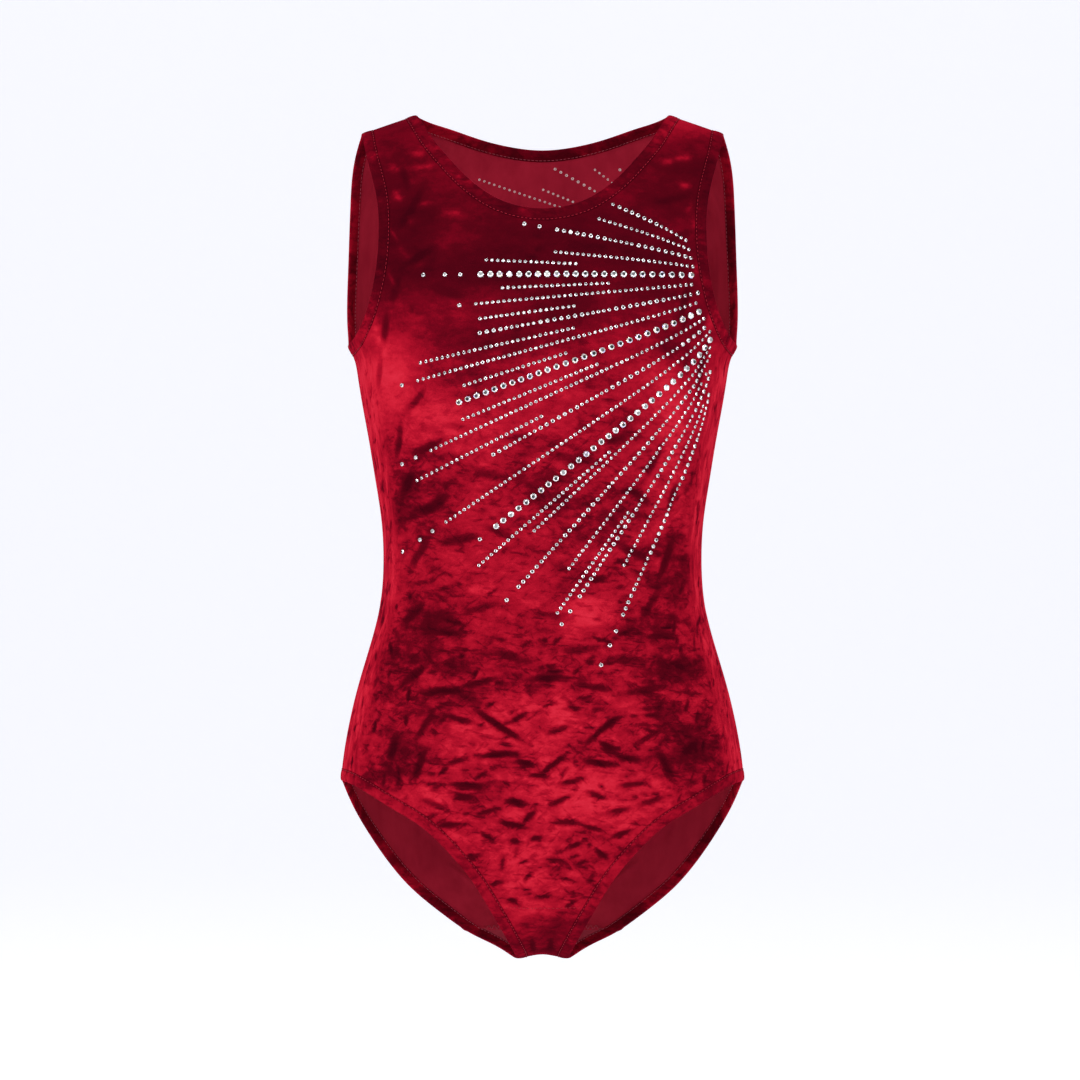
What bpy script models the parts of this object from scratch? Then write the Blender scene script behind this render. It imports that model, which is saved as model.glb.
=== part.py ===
"""A sleeveless gymnastics leotard of crushed stretch velvet, filled out as if worn.

Front, back, crotch lining and five elasticated edges are separate solids.
Tables and dimensions are in millimetres; the meshes are in metres, +Z up.
The front of the garment faces -Y, and the wearer's left side is +X.
The origin lies midway between the shoulder seams, at the middle of their height.
"""

import math
from collections import namedtuple

import bpy
import numpy as np
from mathutils import Vector
from mathutils.geometry import delaunay_2d_cdt

METRES = 0.001

# Driving dimensions
CLOTH = 1.5
SEAM_GAP = 0.3
HEM_WIDTH = 9.0
LINING = 1.0
NECK_HALF_WIDTH = 88.0
SHOULDER_HALF_WIDTH = 127.0
UNDERARM_Z = -155.0
LEG_TOP_Z = -459.0
CROTCH_HALF_WIDTH = 19.5
CROTCH_SEAM_BEHIND_BASE = 54.0
LINING_TOP_Z = -544.0

# The shoulder line drops towards the arm, and the drop dies away down the chest
SHOULDER_SLOPE = 0.37
SHOULDER_ROUNDING = 45.0
SHOULDER_MIDDLE = 107.0
SLOPE_STARTS_FADING_Z = -30.0
SLOPE_IS_GONE_Z = -125.0

# Mesh spacing on the panels and along the edges
PANEL_SPACING = 12.0
EDGE_SPACING = 10.0
LATTICE_CLEARANCE = 0.6  # from the edges, as a share of the panel spacing
MERGE_DISTANCE = 1e-6
SHARP_ANGLE_DEG = 50

# Radii that turn an angle round the body into a length: all round, and where the sides curve
DOMAIN_RADIUS = 115.0
SIDE_CURVE_RADIUS = 90.0

# How finely the curves are worked out
WRAP_ROWS = 4
BISECTIONS = 60
CURVE_SAMPLES = 600
LEG_SAMPLES = 400
INSET_STEPS = 3
NORMAL_STEP = 0.25
ANGLE_DIFFERENCE = 0.001
PLACE_DIFFERENCE = 0.1
ON_LINE = 0.001

Profile = namedtuple("Profile", "y z")
Side = namedtuple("Side", "z half_width squareness")
EdgePoint = namedtuple("EdgePoint", "x z")
Fold = namedtuple("Fold", "x z half_length half_width turn_deg depth")
HemPoint = namedtuple("HemPoint", "across out")

# The side view down the centre: shoulder, front, crotch, back and up to the shoulder again
FRONT_PROFILE = (
    Profile(0.0, 0.0),
    Profile(-24.0, -6.0),
    Profile(-42.0, -23.0),
    Profile(-62.0, -56.0),
    Profile(-80.0, -100.0),
    Profile(-90.0, -150.0),
    Profile(-90.0, -195.0),
    Profile(-83.0, -245.0),
    Profile(-78.0, -295.0),
    Profile(-80.0, -345.0),
    Profile(-85.0, -395.0),
    Profile(-86.0, -435.0),
    Profile(-81.0, -480.0),
    Profile(-70.0, -518.0),
    Profile(-52.0, -552.0),
    Profile(-28.0, -575.0),
)
BACK_PROFILE = (
    Profile(0.0, -583.5),
    Profile(30.0, -579.0),
    Profile(57.0, -564.0),
    Profile(81.0, -538.0),
    Profile(98.0, -504.0),
    Profile(106.0, -465.0),
    Profile(104.0, -425.0),
    Profile(90.0, -380.0),
    Profile(73.0, -335.0),
    Profile(66.0, -295.0),
    Profile(70.0, -250.0),
    Profile(80.0, -200.0),
    Profile(87.0, -145.0),
    Profile(83.0, -95.0),
    Profile(68.0, -53.0),
    Profile(46.0, -22.0),
    Profile(26.0, -6.0),
)

# The outline from the front: half the width at each height, and how square the section is
SIDES = (
    Side(0.0, 140.0, 0.25),
    Side(-25.0, 146.5, 0.25),
    Side(-64.0, 151.5, 0.25),
    Side(-100.0, 151.5, 0.25),
    Side(-124.0, 148.5, 0.24),
    Side(-142.0, 143.0, 0.23),
    Side(-154.0, 137.0, 0.22),
    Side(-163.0, 132.3, 0.21),
    Side(-176.0, 129.3, 0.21),
    Side(-193.0, 126.6, 0.20),
    Side(-221.0, 121.5, 0.19),
    Side(-249.0, 116.9, 0.18),
    Side(-277.0, 112.7, 0.17),
    Side(-305.0, 111.3, 0.16),
    Side(-333.0, 113.2, 0.16),
    Side(-361.0, 119.6, 0.17),
    Side(-389.0, 127.9, 0.18),
    Side(-417.0, 134.8, 0.19),
    Side(-445.0, 139.6, 0.20),
    Side(-465.0, 141.4, 0.20),
    Side(-495.0, 141.5, 0.18),
    Side(-540.0, 139.0, 0.14),
    Side(-583.5, 136.0, 0.10),
)

# The free edges on the wearer's left, as seen from the front
NECK_FRONT = (
    EdgePoint(81.0, -5.0),
    EdgePoint(66.0, -26.0),
    EdgePoint(47.0, -46.0),
    EdgePoint(25.0, -59.5),
    EdgePoint(0.0, -64.0),
)
NECK_BACK = (
    EdgePoint(80.0, 4.0),
    EdgePoint(66.0, 0.5),
    EdgePoint(47.0, -5.0),
    EdgePoint(25.0, -10.0),
    EdgePoint(0.0, -12.5),
)
ARMHOLE_FRONT = (
    EdgePoint(121.5, -28.0),
    EdgePoint(114.5, -56.0),
    EdgePoint(113.0, -84.0),
    EdgePoint(115.5, -110.0),
    EdgePoint(121.0, -133.0),
    EdgePoint(129.0, -149.0),
)
ARMHOLE_BACK = (
    EdgePoint(132.5, -23.0),
    EdgePoint(136.0, -50.0),
    EdgePoint(137.5, -79.0),
    EdgePoint(138.5, -107.0),
    EdgePoint(138.7, -129.0),
    EdgePoint(137.5, -146.0),
)
LEG_FRONT = (
    EdgePoint(131.0, -460.5),
    EdgePoint(116.0, -468.0),
    EdgePoint(102.0, -476.0),
    EdgePoint(85.0, -486.0),
    EdgePoint(64.5, -505.0),
    EdgePoint(49.0, -524.0),
    EdgePoint(38.5, -541.5),
    EdgePoint(28.5, -560.0),
)
LEG_BACK = (
    EdgePoint(35.2, -577.3),
    EdgePoint(50.2, -571.1),
    EdgePoint(66.4, -561.4),
    EdgePoint(81.9, -550.1),
    EdgePoint(94.5, -539.3),
    EdgePoint(107.7, -524.4),
    EdgePoint(122.0, -503.5),
    EdgePoint(133.5, -482.0),
)

# The turned edge in cross-section: how far across it is from the stitches to the fold,
# and how far it stands out from the face of the cloth
HEM_SECTION = (
    HemPoint(0.00, -0.2),
    HemPoint(0.14, 0.35),
    HemPoint(0.55, 0.5),
    HemPoint(0.94, 0.1),
    HemPoint(1.00, -0.9),
    HemPoint(0.93, -1.8),
    HemPoint(0.50, -2.2),
    HemPoint(0.00, -1.6),
)

# The largest soft folds: troughs in the belly, at the crotch and in the small of the back.
# A negative depth stands out as a ridge.
FRONT_FOLDS = (
    Fold(0.0, -577.0, 30.0, 11.0, 90.0, 2.6),
    Fold(15.0, -556.0, 26.0, 6.5, 62.0, 1.5),
    Fold(-15.0, -556.0, 26.0, 6.5, -62.0, 1.5),
    Fold(-26.0, -396.0, 34.0, 11.0, -24.0, 1.6),
    Fold(30.0, -402.0, 36.0, 11.0, 20.0, 1.6),
    Fold(-52.0, -424.0, 30.0, 10.0, 4.0, 1.3),
    Fold(44.0, -436.0, 34.0, 11.0, 12.0, 1.5),
    Fold(-8.0, -452.0, 40.0, 12.0, -4.0, 1.4),
    Fold(4.0, -372.0, 34.0, 12.0, 3.0, -1.3),
    Fold(-70.0, -452.0, 32.0, 11.0, -26.0, 1.2),
    Fold(74.0, -448.0, 32.0, 11.0, 24.0, 1.2),
    Fold(-60.0, -338.0, 36.0, 13.0, 14.0, 1.2),
    Fold(66.0, -334.0, 36.0, 13.0, -12.0, 1.2),
)
BACK_FOLDS = (
    Fold(-34.0, -300.0, 52.0, 13.0, 9.0, 1.8),
    Fold(38.0, -318.0, 48.0, 13.0, -11.0, 1.6),
    Fold(4.0, -338.0, 60.0, 14.0, 2.0, 1.6),
    Fold(-58.0, -276.0, 36.0, 12.0, 14.0, 1.2),
    Fold(60.0, -282.0, 34.0, 12.0, -16.0, 1.2),
    Fold(-72.0, -505.0, 40.0, 12.0, -38.0, 1.4),
    Fold(72.0, -505.0, 40.0, 12.0, 38.0, 1.4),
)

COLOURS = {
    "velvet": (0.36, 0.006, 0.022),
    "inside": (0.19, 0.016, 0.028),
}
VELVET_ROUGHNESS = 0.6
INSIDE_ROUGHNESS = 0.85


def cubic_spline(knots, values):
    """A natural cubic spline through the rows, as a function of the knot value."""
    knots = np.asarray(knots, float)
    values = np.asarray(values, float)
    count = len(knots)
    steps = np.diff(knots)
    slopes = np.diff(values) / steps
    matrix = np.eye(count)
    right = np.zeros(count)
    for i in range(1, count - 1):
        matrix[i, i - 1 : i + 2] = steps[i - 1], 2 * (steps[i - 1] + steps[i]), steps[i]
        right[i] = 6 * (slopes[i] - slopes[i - 1])
    bend = np.linalg.solve(matrix, right)

    def value(at):
        at = np.asarray(at, float)
        i = np.clip(np.searchsorted(knots, at) - 1, 0, count - 2)
        after = knots[i + 1] - at
        before = at - knots[i]
        step = steps[i]
        return (
            (bend[i] * after**3 + bend[i + 1] * before**3) / (6 * step)
            + (values[i] / step - bend[i] * step / 6) * after
            + (values[i + 1] / step - bend[i + 1] * step / 6) * before
        )

    return value


def lengths_along(points):
    """The distance along a line of points, starting at 0."""
    gaps = np.linalg.norm(np.diff(np.asarray(points, float), axis=0), axis=1)
    return np.concatenate([[0.0], np.cumsum(gaps)])


class CentreLine:
    """The closed side view as a curve of its own length, wrapped so that it has no seam."""

    def __init__(self, front, back):
        rows = np.array([*front, *back], float)
        around = np.vstack([rows[-WRAP_ROWS:], rows, rows[: WRAP_ROWS + 1]])
        knots = lengths_along(around)
        start = knots[WRAP_ROWS]
        self.length = knots[WRAP_ROWS + len(rows)] - start
        self.base = knots[WRAP_ROWS + len(front)] - start
        self.y_of = cubic_spline(knots - start, around[:, 0])
        self.z_of = cubic_spline(knots - start, around[:, 1])

    def at(self, along):
        along = np.mod(along, self.length)
        return self.y_of(along), self.z_of(along)

    def along_at(self, z, on_front):
        """Where the centre line has this height, on the front or on the back."""
        top = 0.0 if on_front else self.length
        bottom = self.base
        for _ in range(BISECTIONS):
            middle = (top + bottom) / 2
            if self.z_of(middle) > z:
                top = middle
            else:
                bottom = middle
        return (top + bottom) / 2


CENTRE = CentreLine(FRONT_PROFILE, BACK_PROFILE)
SIDES_UP = SIDES[::-1]
half_width_at = cubic_spline([row.z for row in SIDES_UP], [row.half_width for row in SIDES_UP])
squareness_at = cubic_spline([row.z for row in SIDES_UP], [row.squareness for row in SIDES_UP])


def smooth_step(value):
    value = np.clip(value, 0.0, 1.0)
    return value * value * (3 - 2 * value)


def shoulder_drop(x, z):
    """How far the shoulder slope lowers a point at this x, where its ring is at height z."""
    outward = np.sqrt(x * x + SHOULDER_ROUNDING**2)
    middle = math.hypot(SHOULDER_MIDDLE, SHOULDER_ROUNDING)
    fade = smooth_step((z - SLOPE_IS_GONE_Z) / (SLOPE_STARTS_FADING_Z - SLOPE_IS_GONE_Z))
    return SHOULDER_SLOPE * (outward - middle) * fade


def fold_depth(x, z, folds):
    depth = np.zeros_like(x)
    for fold in folds:
        turn = math.radians(fold.turn_deg)
        along = (x - fold.x) * math.cos(turn) + (z - fold.z) * math.sin(turn)
        across = (z - fold.z) * math.cos(turn) - (x - fold.x) * math.sin(turn)
        depth += fold.depth * np.exp(-((along / fold.half_length) ** 2) - (across / fold.half_width) ** 2)
    return depth


def plain_form(angle, along):
    """A point of the worn shape: angle goes round from the centre line, along runs down it."""
    y, z = CENTRE.at(along)
    x = half_width_at(z) * np.sin(angle)
    squarer = 1 + squareness_at(z) * np.sin(angle) ** 2
    return np.stack([x, y * np.cos(angle) * squarer, z - shoulder_drop(x, z)], axis=-1)


def normals_of(surface, angle, along):
    step_angle = NORMAL_STEP / DOMAIN_RADIUS
    sideways = surface(angle + step_angle, along) - surface(angle - step_angle, along)
    downwards = surface(angle, along + NORMAL_STEP) - surface(angle, along - NORMAL_STEP)
    normal = np.cross(downwards, sideways)
    return normal / np.linalg.norm(normal, axis=-1, keepdims=True)


def form(angle, along):
    """The outer face of the cloth, with its largest folds."""
    point = plain_form(angle, along)
    on_front = np.mod(along, CENTRE.length) < CENTRE.base
    front = fold_depth(point[..., 0], point[..., 2], FRONT_FOLDS)
    back = fold_depth(point[..., 0], point[..., 2], BACK_FOLDS)
    base_fold = fold_depth(point[..., 0], point[..., 2], FRONT_FOLDS[:1])
    depth = np.where(on_front, front, back + base_fold)
    return point - normals_of(plain_form, angle, along) * depth[..., None]


def locate(x, z, on_front):
    """The angle and the place along the centre line of a point seen at x, z."""
    low, high = SIDES_UP[0].z, SIDES_UP[-1].z
    for _ in range(BISECTIONS):
        middle = (low + high) / 2
        if middle - shoulder_drop(x, middle) > z:
            high = middle
        else:
            low = middle
    ring_z = (low + high) / 2
    angle = math.asin(min(1.0, x / float(half_width_at(ring_z))))
    return angle, CENTRE.along_at(ring_z, on_front)


def even_points(rows, count, mirror_start, mirror_end):
    """count points evenly spaced on a smooth curve through rows of angle and place.

    A mirror is a function that reflects a row across a seam, so that the curve crosses it squarely.
    """
    rows = np.array(rows, float)
    before = np.array([mirror_start(r) for r in rows[3:0:-1]])
    after = np.array([mirror_end(r) for r in rows[-2:-5:-1]])
    around = np.vstack([before, rows, after])
    scale = np.array([DOMAIN_RADIUS, 1.0])
    knots = lengths_along(around * scale)
    angle_of = cubic_spline(knots, around[:, 0])
    along_of = cubic_spline(knots, around[:, 1])
    fine = np.linspace(knots[len(before)], knots[len(before) + len(rows) - 1], CURVE_SAMPLES)
    lengths = lengths_along(plain_form(angle_of(fine), along_of(fine)))
    at = np.interp(np.linspace(0, lengths[-1], count), lengths, fine)
    return np.stack([angle_of(at), along_of(at)], axis=1)


def evenly(line, count):
    """A line of many rows, cut down to count rows that are evenly spaced on the cloth."""
    lengths = lengths_along(plain_form(line[:, 0], line[:, 1]))
    at = np.linspace(0, lengths[-1], count)
    return np.stack([np.interp(at, lengths, line[:, column]) for column in (0, 1)], axis=1)


def edge_count(rows):
    """How many points an edge needs for the mesh spacing."""
    rows = np.array(rows, float)
    return int(round(lengths_along(plain_form(rows[:, 0], rows[:, 1]))[-1] / EDGE_SPACING)) + 1


def inset(points, distance, side):
    """The points moved over the cloth, away from the free edge that they follow."""
    moved = points.copy()
    for _ in range(INSET_STEPS):
        position = plain_form(moved[:, 0], moved[:, 1])
        tangent = np.gradient(position, axis=0)
        tangent /= np.linalg.norm(tangent, axis=1, keepdims=True)
        normal = normals_of(plain_form, moved[:, 0], moved[:, 1])
        inward = np.cross(tangent, normal) * side
        turned = plain_form(moved[:, 0] + ANGLE_DIFFERENCE, moved[:, 1])
        lowered = plain_form(moved[:, 0], moved[:, 1] + PLACE_DIFFERENCE)
        by_angle = (turned - position) / ANGLE_DIFFERENCE
        by_along = (lowered - position) / PLACE_DIFFERENCE
        for i in range(len(moved)):
            jacobian = np.stack([by_angle[i], by_along[i]], axis=1)
            step = np.linalg.lstsq(jacobian, inward[i] * distance / INSET_STEPS, rcond=None)[0]
            moved[i] += step
    return moved


def mirror_at_angle(angle):
    return lambda row: (2 * angle - row[0], row[1])


def mirror_at_place(along):
    return lambda row: (row[0], 2 * along - row[1])


def located(edge, on_front):
    return [locate(point.x, point.z, on_front) for point in edge]


class Edge:
    """A free edge of one panel on the wearer's left: the fold, and the stitched line inside it."""

    def __init__(self, fold, stitches):
        self.fold = fold
        self.stitches = stitches

    @classmethod
    def through(cls, rows, side, mirror_start, mirror_end):
        fold = even_points(rows, edge_count(rows), mirror_start, mirror_end)
        return cls(fold, inset(fold, HEM_WIDTH, side))

    @classmethod
    def of_lines(cls, fold, stitches):
        count = edge_count(fold)
        return cls(evenly(fold, count), evenly(stitches, count))

    def pin(self, which, column, value):
        """Keeps an end of both lines on a seam."""
        self.fold[which, column] = value
        self.stitches[which, column] = value


def cut(fold, stitches, along):
    """The two parts of an edge, each from its far end to the seam at this place."""
    before = [line[line[:, 1] < along] for line in (fold, stitches)]
    after = [line[line[:, 1] > along][::-1] for line in (fold, stitches)]
    return before, after


def make_edges():
    """The free edges of the front and of the back, each starting nearest the shoulder."""
    quarter = math.pi / 2
    end = CENTRE.length
    neck = math.asin(NECK_HALF_WIDTH / SIDES[0].half_width)
    shoulder = math.asin(SHOULDER_HALF_WIDTH / SIDES[0].half_width)
    underarm_front = CENTRE.along_at(UNDERARM_Z, True)
    underarm_back = CENTRE.along_at(UNDERARM_Z, False)
    hip_front = CENTRE.along_at(LEG_TOP_Z, True)
    hip_back = CENTRE.along_at(LEG_TOP_Z, False)
    at_base = (math.asin(CROTCH_HALF_WIDTH / SIDES[-1].half_width), CENTRE.base)
    at_seam = CENTRE.base + CROTCH_SEAM_BEHIND_BASE

    neck_front = Edge.through(
        [(neck, 0.0), *located(NECK_FRONT, True)], -1, mirror_at_place(0.0), mirror_at_angle(0.0)
    )
    neck_front.pin(0, 1, 0.0)
    neck_front.pin(-1, 0, 0.0)
    neck_back = Edge.through(
        [(neck, end), *located(NECK_BACK, False)], 1, mirror_at_place(end), mirror_at_angle(0.0)
    )
    neck_back.pin(0, 1, end)
    neck_back.pin(-1, 0, 0.0)
    arm_front = Edge.through(
        [(shoulder, 0.0), *located(ARMHOLE_FRONT, True), (quarter, underarm_front)],
        1,
        mirror_at_place(0.0),
        mirror_at_angle(quarter),
    )
    arm_front.pin(0, 1, 0.0)
    arm_front.pin(-1, 0, quarter)
    arm_back = Edge.through(
        [(shoulder, end), *located(ARMHOLE_BACK, False), (quarter, underarm_back)],
        -1,
        mirror_at_place(end),
        mirror_at_angle(quarter),
    )
    arm_back.pin(0, 1, end)
    arm_back.pin(-1, 0, quarter)

    leg_rows = [
        (quarter, hip_front),
        *located(LEG_FRONT, True),
        at_base,
        *located(LEG_BACK, False),
        (quarter, hip_back),
    ]
    mirror = mirror_at_angle(quarter)
    whole_fold = even_points(leg_rows, LEG_SAMPLES, mirror, mirror)
    whole_stitches = inset(whole_fold, HEM_WIDTH, 1)
    leg_front, leg_back = (Edge.of_lines(*lines) for lines in cut(whole_fold, whole_stitches, at_seam))
    for edge in (leg_front, leg_back):
        edge.pin(0, 0, quarter)
        edge.pin(-1, 1, at_seam)
    return {
        "neck_front": neck_front,
        "neck_back": neck_back,
        "arm_front": arm_front,
        "arm_back": arm_back,
        "leg_front": leg_front,
        "leg_back": leg_back,
    }


def straight(start, end, spacing):
    """Evenly spaced rows between two rows of angle and place, without the ends."""
    start, end = np.array(start, float), np.array(end, float)
    steps = max(1, int(round(np.linalg.norm((end - start) * [DOMAIN_RADIUS, 1.0]) / spacing)))
    share = np.linspace(0, 1, steps + 1)[1:-1, None]
    return start + (end - start) * share


def side_seam(top_z, bottom_z, on_front):
    """The side seam from the underarm to the leg, at heights that both panels share."""
    count = int(round((top_z - bottom_z) / PANEL_SPACING)) + 1
    heights = np.linspace(top_z, bottom_z, count)[1:-1]
    return np.array([(math.pi / 2, CENTRE.along_at(z, on_front)) for z in heights])


def panel_outline(neck, arm, leg, on_front):
    """The stitched outline of a panel, all the way round, just clear of its neighbours."""
    half_gap = SEAM_GAP / 2
    inward = 1 if on_front else -1
    shoulder_place = half_gap if on_front else CENTRE.length - half_gap
    crotch_place = leg.stitches[-1, 1] - half_gap * inward
    shoulder = straight(neck.stitches[0], arm.stitches[0], PANEL_SPACING)
    underarm_z = float(CENTRE.z_of(arm.stitches[-1, 1]))
    hip_z = float(CENTRE.z_of(leg.stitches[0, 1]))
    side = side_seam(underarm_z, hip_z, on_front)
    crotch = straight(leg.stitches[-1], (0.0, leg.stitches[-1, 1]), PANEL_SPACING)
    half = np.vstack(
        [
            neck.stitches[::-1][1:],
            shoulder,
            arm.stitches,
            side,
            leg.stitches,
            crotch,
            [[0.0, crotch_place]],
        ]
    )
    half[:, 0] = np.minimum(half[:, 0], math.pi / 2 - half_gap / SIDE_CURVE_RADIUS)
    if on_front:
        half[:, 1] = np.clip(half[:, 1], shoulder_place, crotch_place)
    else:
        half[:, 1] = np.clip(half[:, 1], crotch_place, shoulder_place)
    top = neck.stitches[-1:]
    other = half[:-1][::-1] * [-1, 1]
    return np.vstack([top, half, other])


def inside_outline(points, outline):
    """Which points lie inside a closed outline, by counting its crossings."""
    ends = np.roll(outline, -1, axis=0)
    found = np.zeros(len(points), bool)
    for a, b in zip(outline, ends):
        crosses = (a[1] > points[:, 1]) != (b[1] > points[:, 1])
        with np.errstate(divide="ignore", invalid="ignore"):
            at = a[0] + (points[:, 1] - a[1]) * (b[0] - a[0]) / (b[1] - a[1])
        found ^= crosses & (points[:, 0] < at)
    return found


def distance_to(points, lines):
    """The distance from each point to the nearest of the line segments."""
    best = np.full(len(points), np.inf)
    for a, b in lines:
        d = b - a
        share = np.clip(((points - a) @ d) / max(d @ d, 1e-9), 0, 1)
        best = np.minimum(best, np.linalg.norm(points - a - share[:, None] * d, axis=1))
    return best


def triangulated(outline, cross_lines=()):
    """Even triangles inside a flat outline, with an edge along each cross line."""
    count = len(outline)
    points = [outline]
    edges = [(i, (i + 1) % count) for i in range(count)]
    lines = [(outline[i], outline[(i + 1) % count]) for i in range(count)]
    for first, line, last in cross_lines:
        start = sum(len(p) for p in points)
        chain = [first, *range(start, start + len(line)), last]
        points.append(line)
        edges += list(zip(chain, chain[1:]))
        every = np.vstack(points)
        lines += [(every[a], every[b]) for a, b in zip(chain, chain[1:])]
    low, high = outline.min(axis=0), outline.max(axis=0)
    row_height = PANEL_SPACING * math.sqrt(3) / 2
    lattice = []
    for row, v in enumerate(np.arange(low[1], high[1], row_height)):
        shift = 0.5 if row % 2 else 0.0
        reach = int(high[0] / PANEL_SPACING) + 1
        lattice += [((i + shift) * PANEL_SPACING, v) for i in range(-reach, reach + 1)]
    lattice = np.array(lattice)
    lattice = lattice[inside_outline(lattice, outline)]
    lattice = lattice[distance_to(lattice, lines) > LATTICE_CLEARANCE * PANEL_SPACING]
    points.append(lattice)
    flat = [Vector(p) for p in np.vstack(points)]
    made = delaunay_2d_cdt(flat, edges, [list(range(count))], 1, MERGE_DISTANCE)
    return np.array([tuple(p) for p in made[0]]), [tuple(f) for f in made[2]]


def facing_out(points, faces, normals):
    """The faces, each turned so that it points the way its corners' normals do."""
    turned = []
    for face in faces:
        a, b, c = (points[i] for i in face[:3])
        outwards = np.cross(b - a, c - a) @ normals[face[0]] > 0
        turned.append(tuple(face) if outwards else tuple(reversed(face)))
    return turned


def add_object(name, points, faces, material, collection):
    mesh = bpy.data.meshes.new(name)
    mesh.from_pydata([tuple(p) for p in np.asarray(points) * METRES], [], faces)
    mesh.materials.append(material)
    mesh.shade_smooth()
    mesh.set_sharp_from_angle(angle=math.radians(SHARP_ANGLE_DEG))
    made = bpy.data.objects.new(name, mesh)
    collection.objects.link(made)
    return made


def walled(outer, inner, faces):
    """A closed wall from two faces with the same triangles, joined all round their borders."""
    count = len(outer)
    sides = {(a, b) for face in faces for a, b in zip(face, face[1:] + face[:1])}
    rim = [(b, a, a + count, b + count) for a, b in sorted(sides) if (b, a) not in sides]
    turned = [tuple(i + count for i in reversed(face)) for face in faces]
    return np.vstack([outer, inner]), [*faces, *turned, *rim]


def add_cloth(name, flat, faces, depth, thickness, material, collection):
    """Cloth whose outer face lies depth inside the worn shape.

    The wall is worked out from the shape itself, not with Solidify, whose one-sided
    normals along a border would tip the edges of two panels into each other at a seam.
    """
    angle, along = flat[:, 0] / DOMAIN_RADIUS, flat[:, 1]
    face_points = form(angle, along)
    normals = normals_of(form, angle, along)
    faces = facing_out(face_points, faces, normals)
    outer = face_points - normals * depth
    inner = outer - normals * thickness
    add_object(name, *walled(outer, inner, faces), material, collection)


def nearest_row(outline, angle_sign, along):
    """The outline's row nearest a height, on one side of the lower half."""
    rows = np.where(np.sign(outline[:, 0]) == angle_sign, np.abs(outline[:, 1] - along), np.inf)
    return int(np.argmin(rows))


def make_front(edges, material, lining_material, collection):
    """The front panel, and the crotch lining that lies on its inner face."""
    outline = panel_outline(edges["neck_front"], edges["arm_front"], edges["leg_front"], True)
    lining_place = CENTRE.along_at(LINING_TOP_Z, True)
    left = nearest_row(outline, 1, lining_place)
    right = nearest_row(outline, -1, lining_place)
    across = straight(outline[left], outline[right], PANEL_SPACING)
    scale = [DOMAIN_RADIUS, 1.0]
    flat, faces = triangulated(outline * scale, [(left, across * scale, right)])
    add_cloth("front", flat, faces, 0.0, CLOTH, material, collection)

    top = outline[left, 1] - ON_LINE
    kept = [face for face in faces if all(flat[i, 1] > top for i in face)]
    used = sorted({i for face in kept for i in face})
    renumbered = {old: new for new, old in enumerate(used)}
    kept = [tuple(renumbered[i] for i in face) for face in kept]
    depth = CLOTH + SEAM_GAP
    add_cloth("crotch_lining", flat[used], kept, depth, LINING, lining_material, collection)


def make_back(edges, material, collection):
    outline = panel_outline(edges["neck_back"], edges["arm_back"], edges["leg_back"], False)
    flat, faces = triangulated(outline * [DOMAIN_RADIUS, 1.0])
    add_cloth("back", flat, faces, 0.0, CLOTH, material, collection)


def hem_loop(stitches, fold, name, material, collection):
    """A closed ring with the turned edge's section, lofted from the panel's own edge points."""
    across = fold - stitches
    sections = []
    for point in HEM_SECTION:
        share = (SEAM_GAP + point.across * (HEM_WIDTH - SEAM_GAP)) / HEM_WIDTH
        rows = stitches + across * share
        normals = normals_of(form, rows[:, 0], rows[:, 1])
        sections.append(form(rows[:, 0], rows[:, 1]) + normals * point.out)
    points = np.stack(sections, axis=1)
    centres = points.mean(axis=1)
    count, corners = points.shape[:2]
    points = points.reshape(-1, 3)
    faces = []
    for i in range(count):
        j = (i + 1) % count
        for k in range(corners):
            m = (k + 1) % corners
            faces.append((i * corners + k, j * corners + k, j * corners + m, i * corners + m))
    outwards = points - np.repeat(centres, corners, axis=0)
    add_object(name, points, facing_out(points, faces, outwards), material, collection)


def joined(lines):
    """Several lines of rows end to end, without the doubled rows where they meet."""
    return np.vstack([line[:-1] for line in lines])


def make_hems(edges, material, collection):
    mirror = np.array([-1, 1])
    neck_front, neck_back = edges["neck_front"], edges["neck_back"]
    rings = {
        which: joined(
            [
                getattr(neck_front, which),
                (getattr(neck_front, which) * mirror)[::-1],
                getattr(neck_back, which) * mirror,
                getattr(neck_back, which)[::-1],
            ]
        )
        for which in ("stitches", "fold")
    }
    hem_loop(rings["stitches"], rings["fold"], "neck_hem", material, collection)
    for opening, place in (("arm", "armhole_hem"), ("leg", "leg_hem")):
        front, back = edges[opening + "_front"], edges[opening + "_back"]
        for side, sign in (("left", 1), ("right", -1)):
            rings = {
                which: joined([getattr(front, which), getattr(back, which)[::-1]]) * [sign, 1]
                for which in ("stitches", "fold")
            }
            hem_loop(rings["stitches"], rings["fold"], f"{place}_{side}", material, collection)


def make_material(name, roughness):
    material = bpy.data.materials.new(name)
    material.use_nodes = True
    shader = material.node_tree.nodes["Principled BSDF"]
    shader.inputs["Base Color"].default_value = (*COLOURS[name], 1.0)
    shader.inputs["Roughness"].default_value = roughness
    shader.inputs["Metallic"].default_value = 0.0
    return material


def main():
    for old in list(bpy.data.objects):
        bpy.data.objects.remove(old, do_unlink=True)
    collection = bpy.data.collections.new("gymnastics_leotard")
    bpy.context.scene.collection.children.link(collection)
    velvet = make_material("velvet", VELVET_ROUGHNESS)
    inside = make_material("inside", INSIDE_ROUGHNESS)
    edges = make_edges()
    make_front(edges, velvet, inside, collection)
    make_back(edges, velvet, collection)
    make_hems(edges, velvet, collection)


main()
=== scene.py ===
# The looks of a sleeveless gymnastics leotard in crushed stretch velvet, filled out as worn.
# Tables are in millimetres. The front faces -Y, and +X is the wearer's left side.

import math
import random
from collections import namedtuple

import bpy
import numpy as np
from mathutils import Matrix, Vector
from mathutils.geometry import delaunay_2d_cdt


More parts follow.
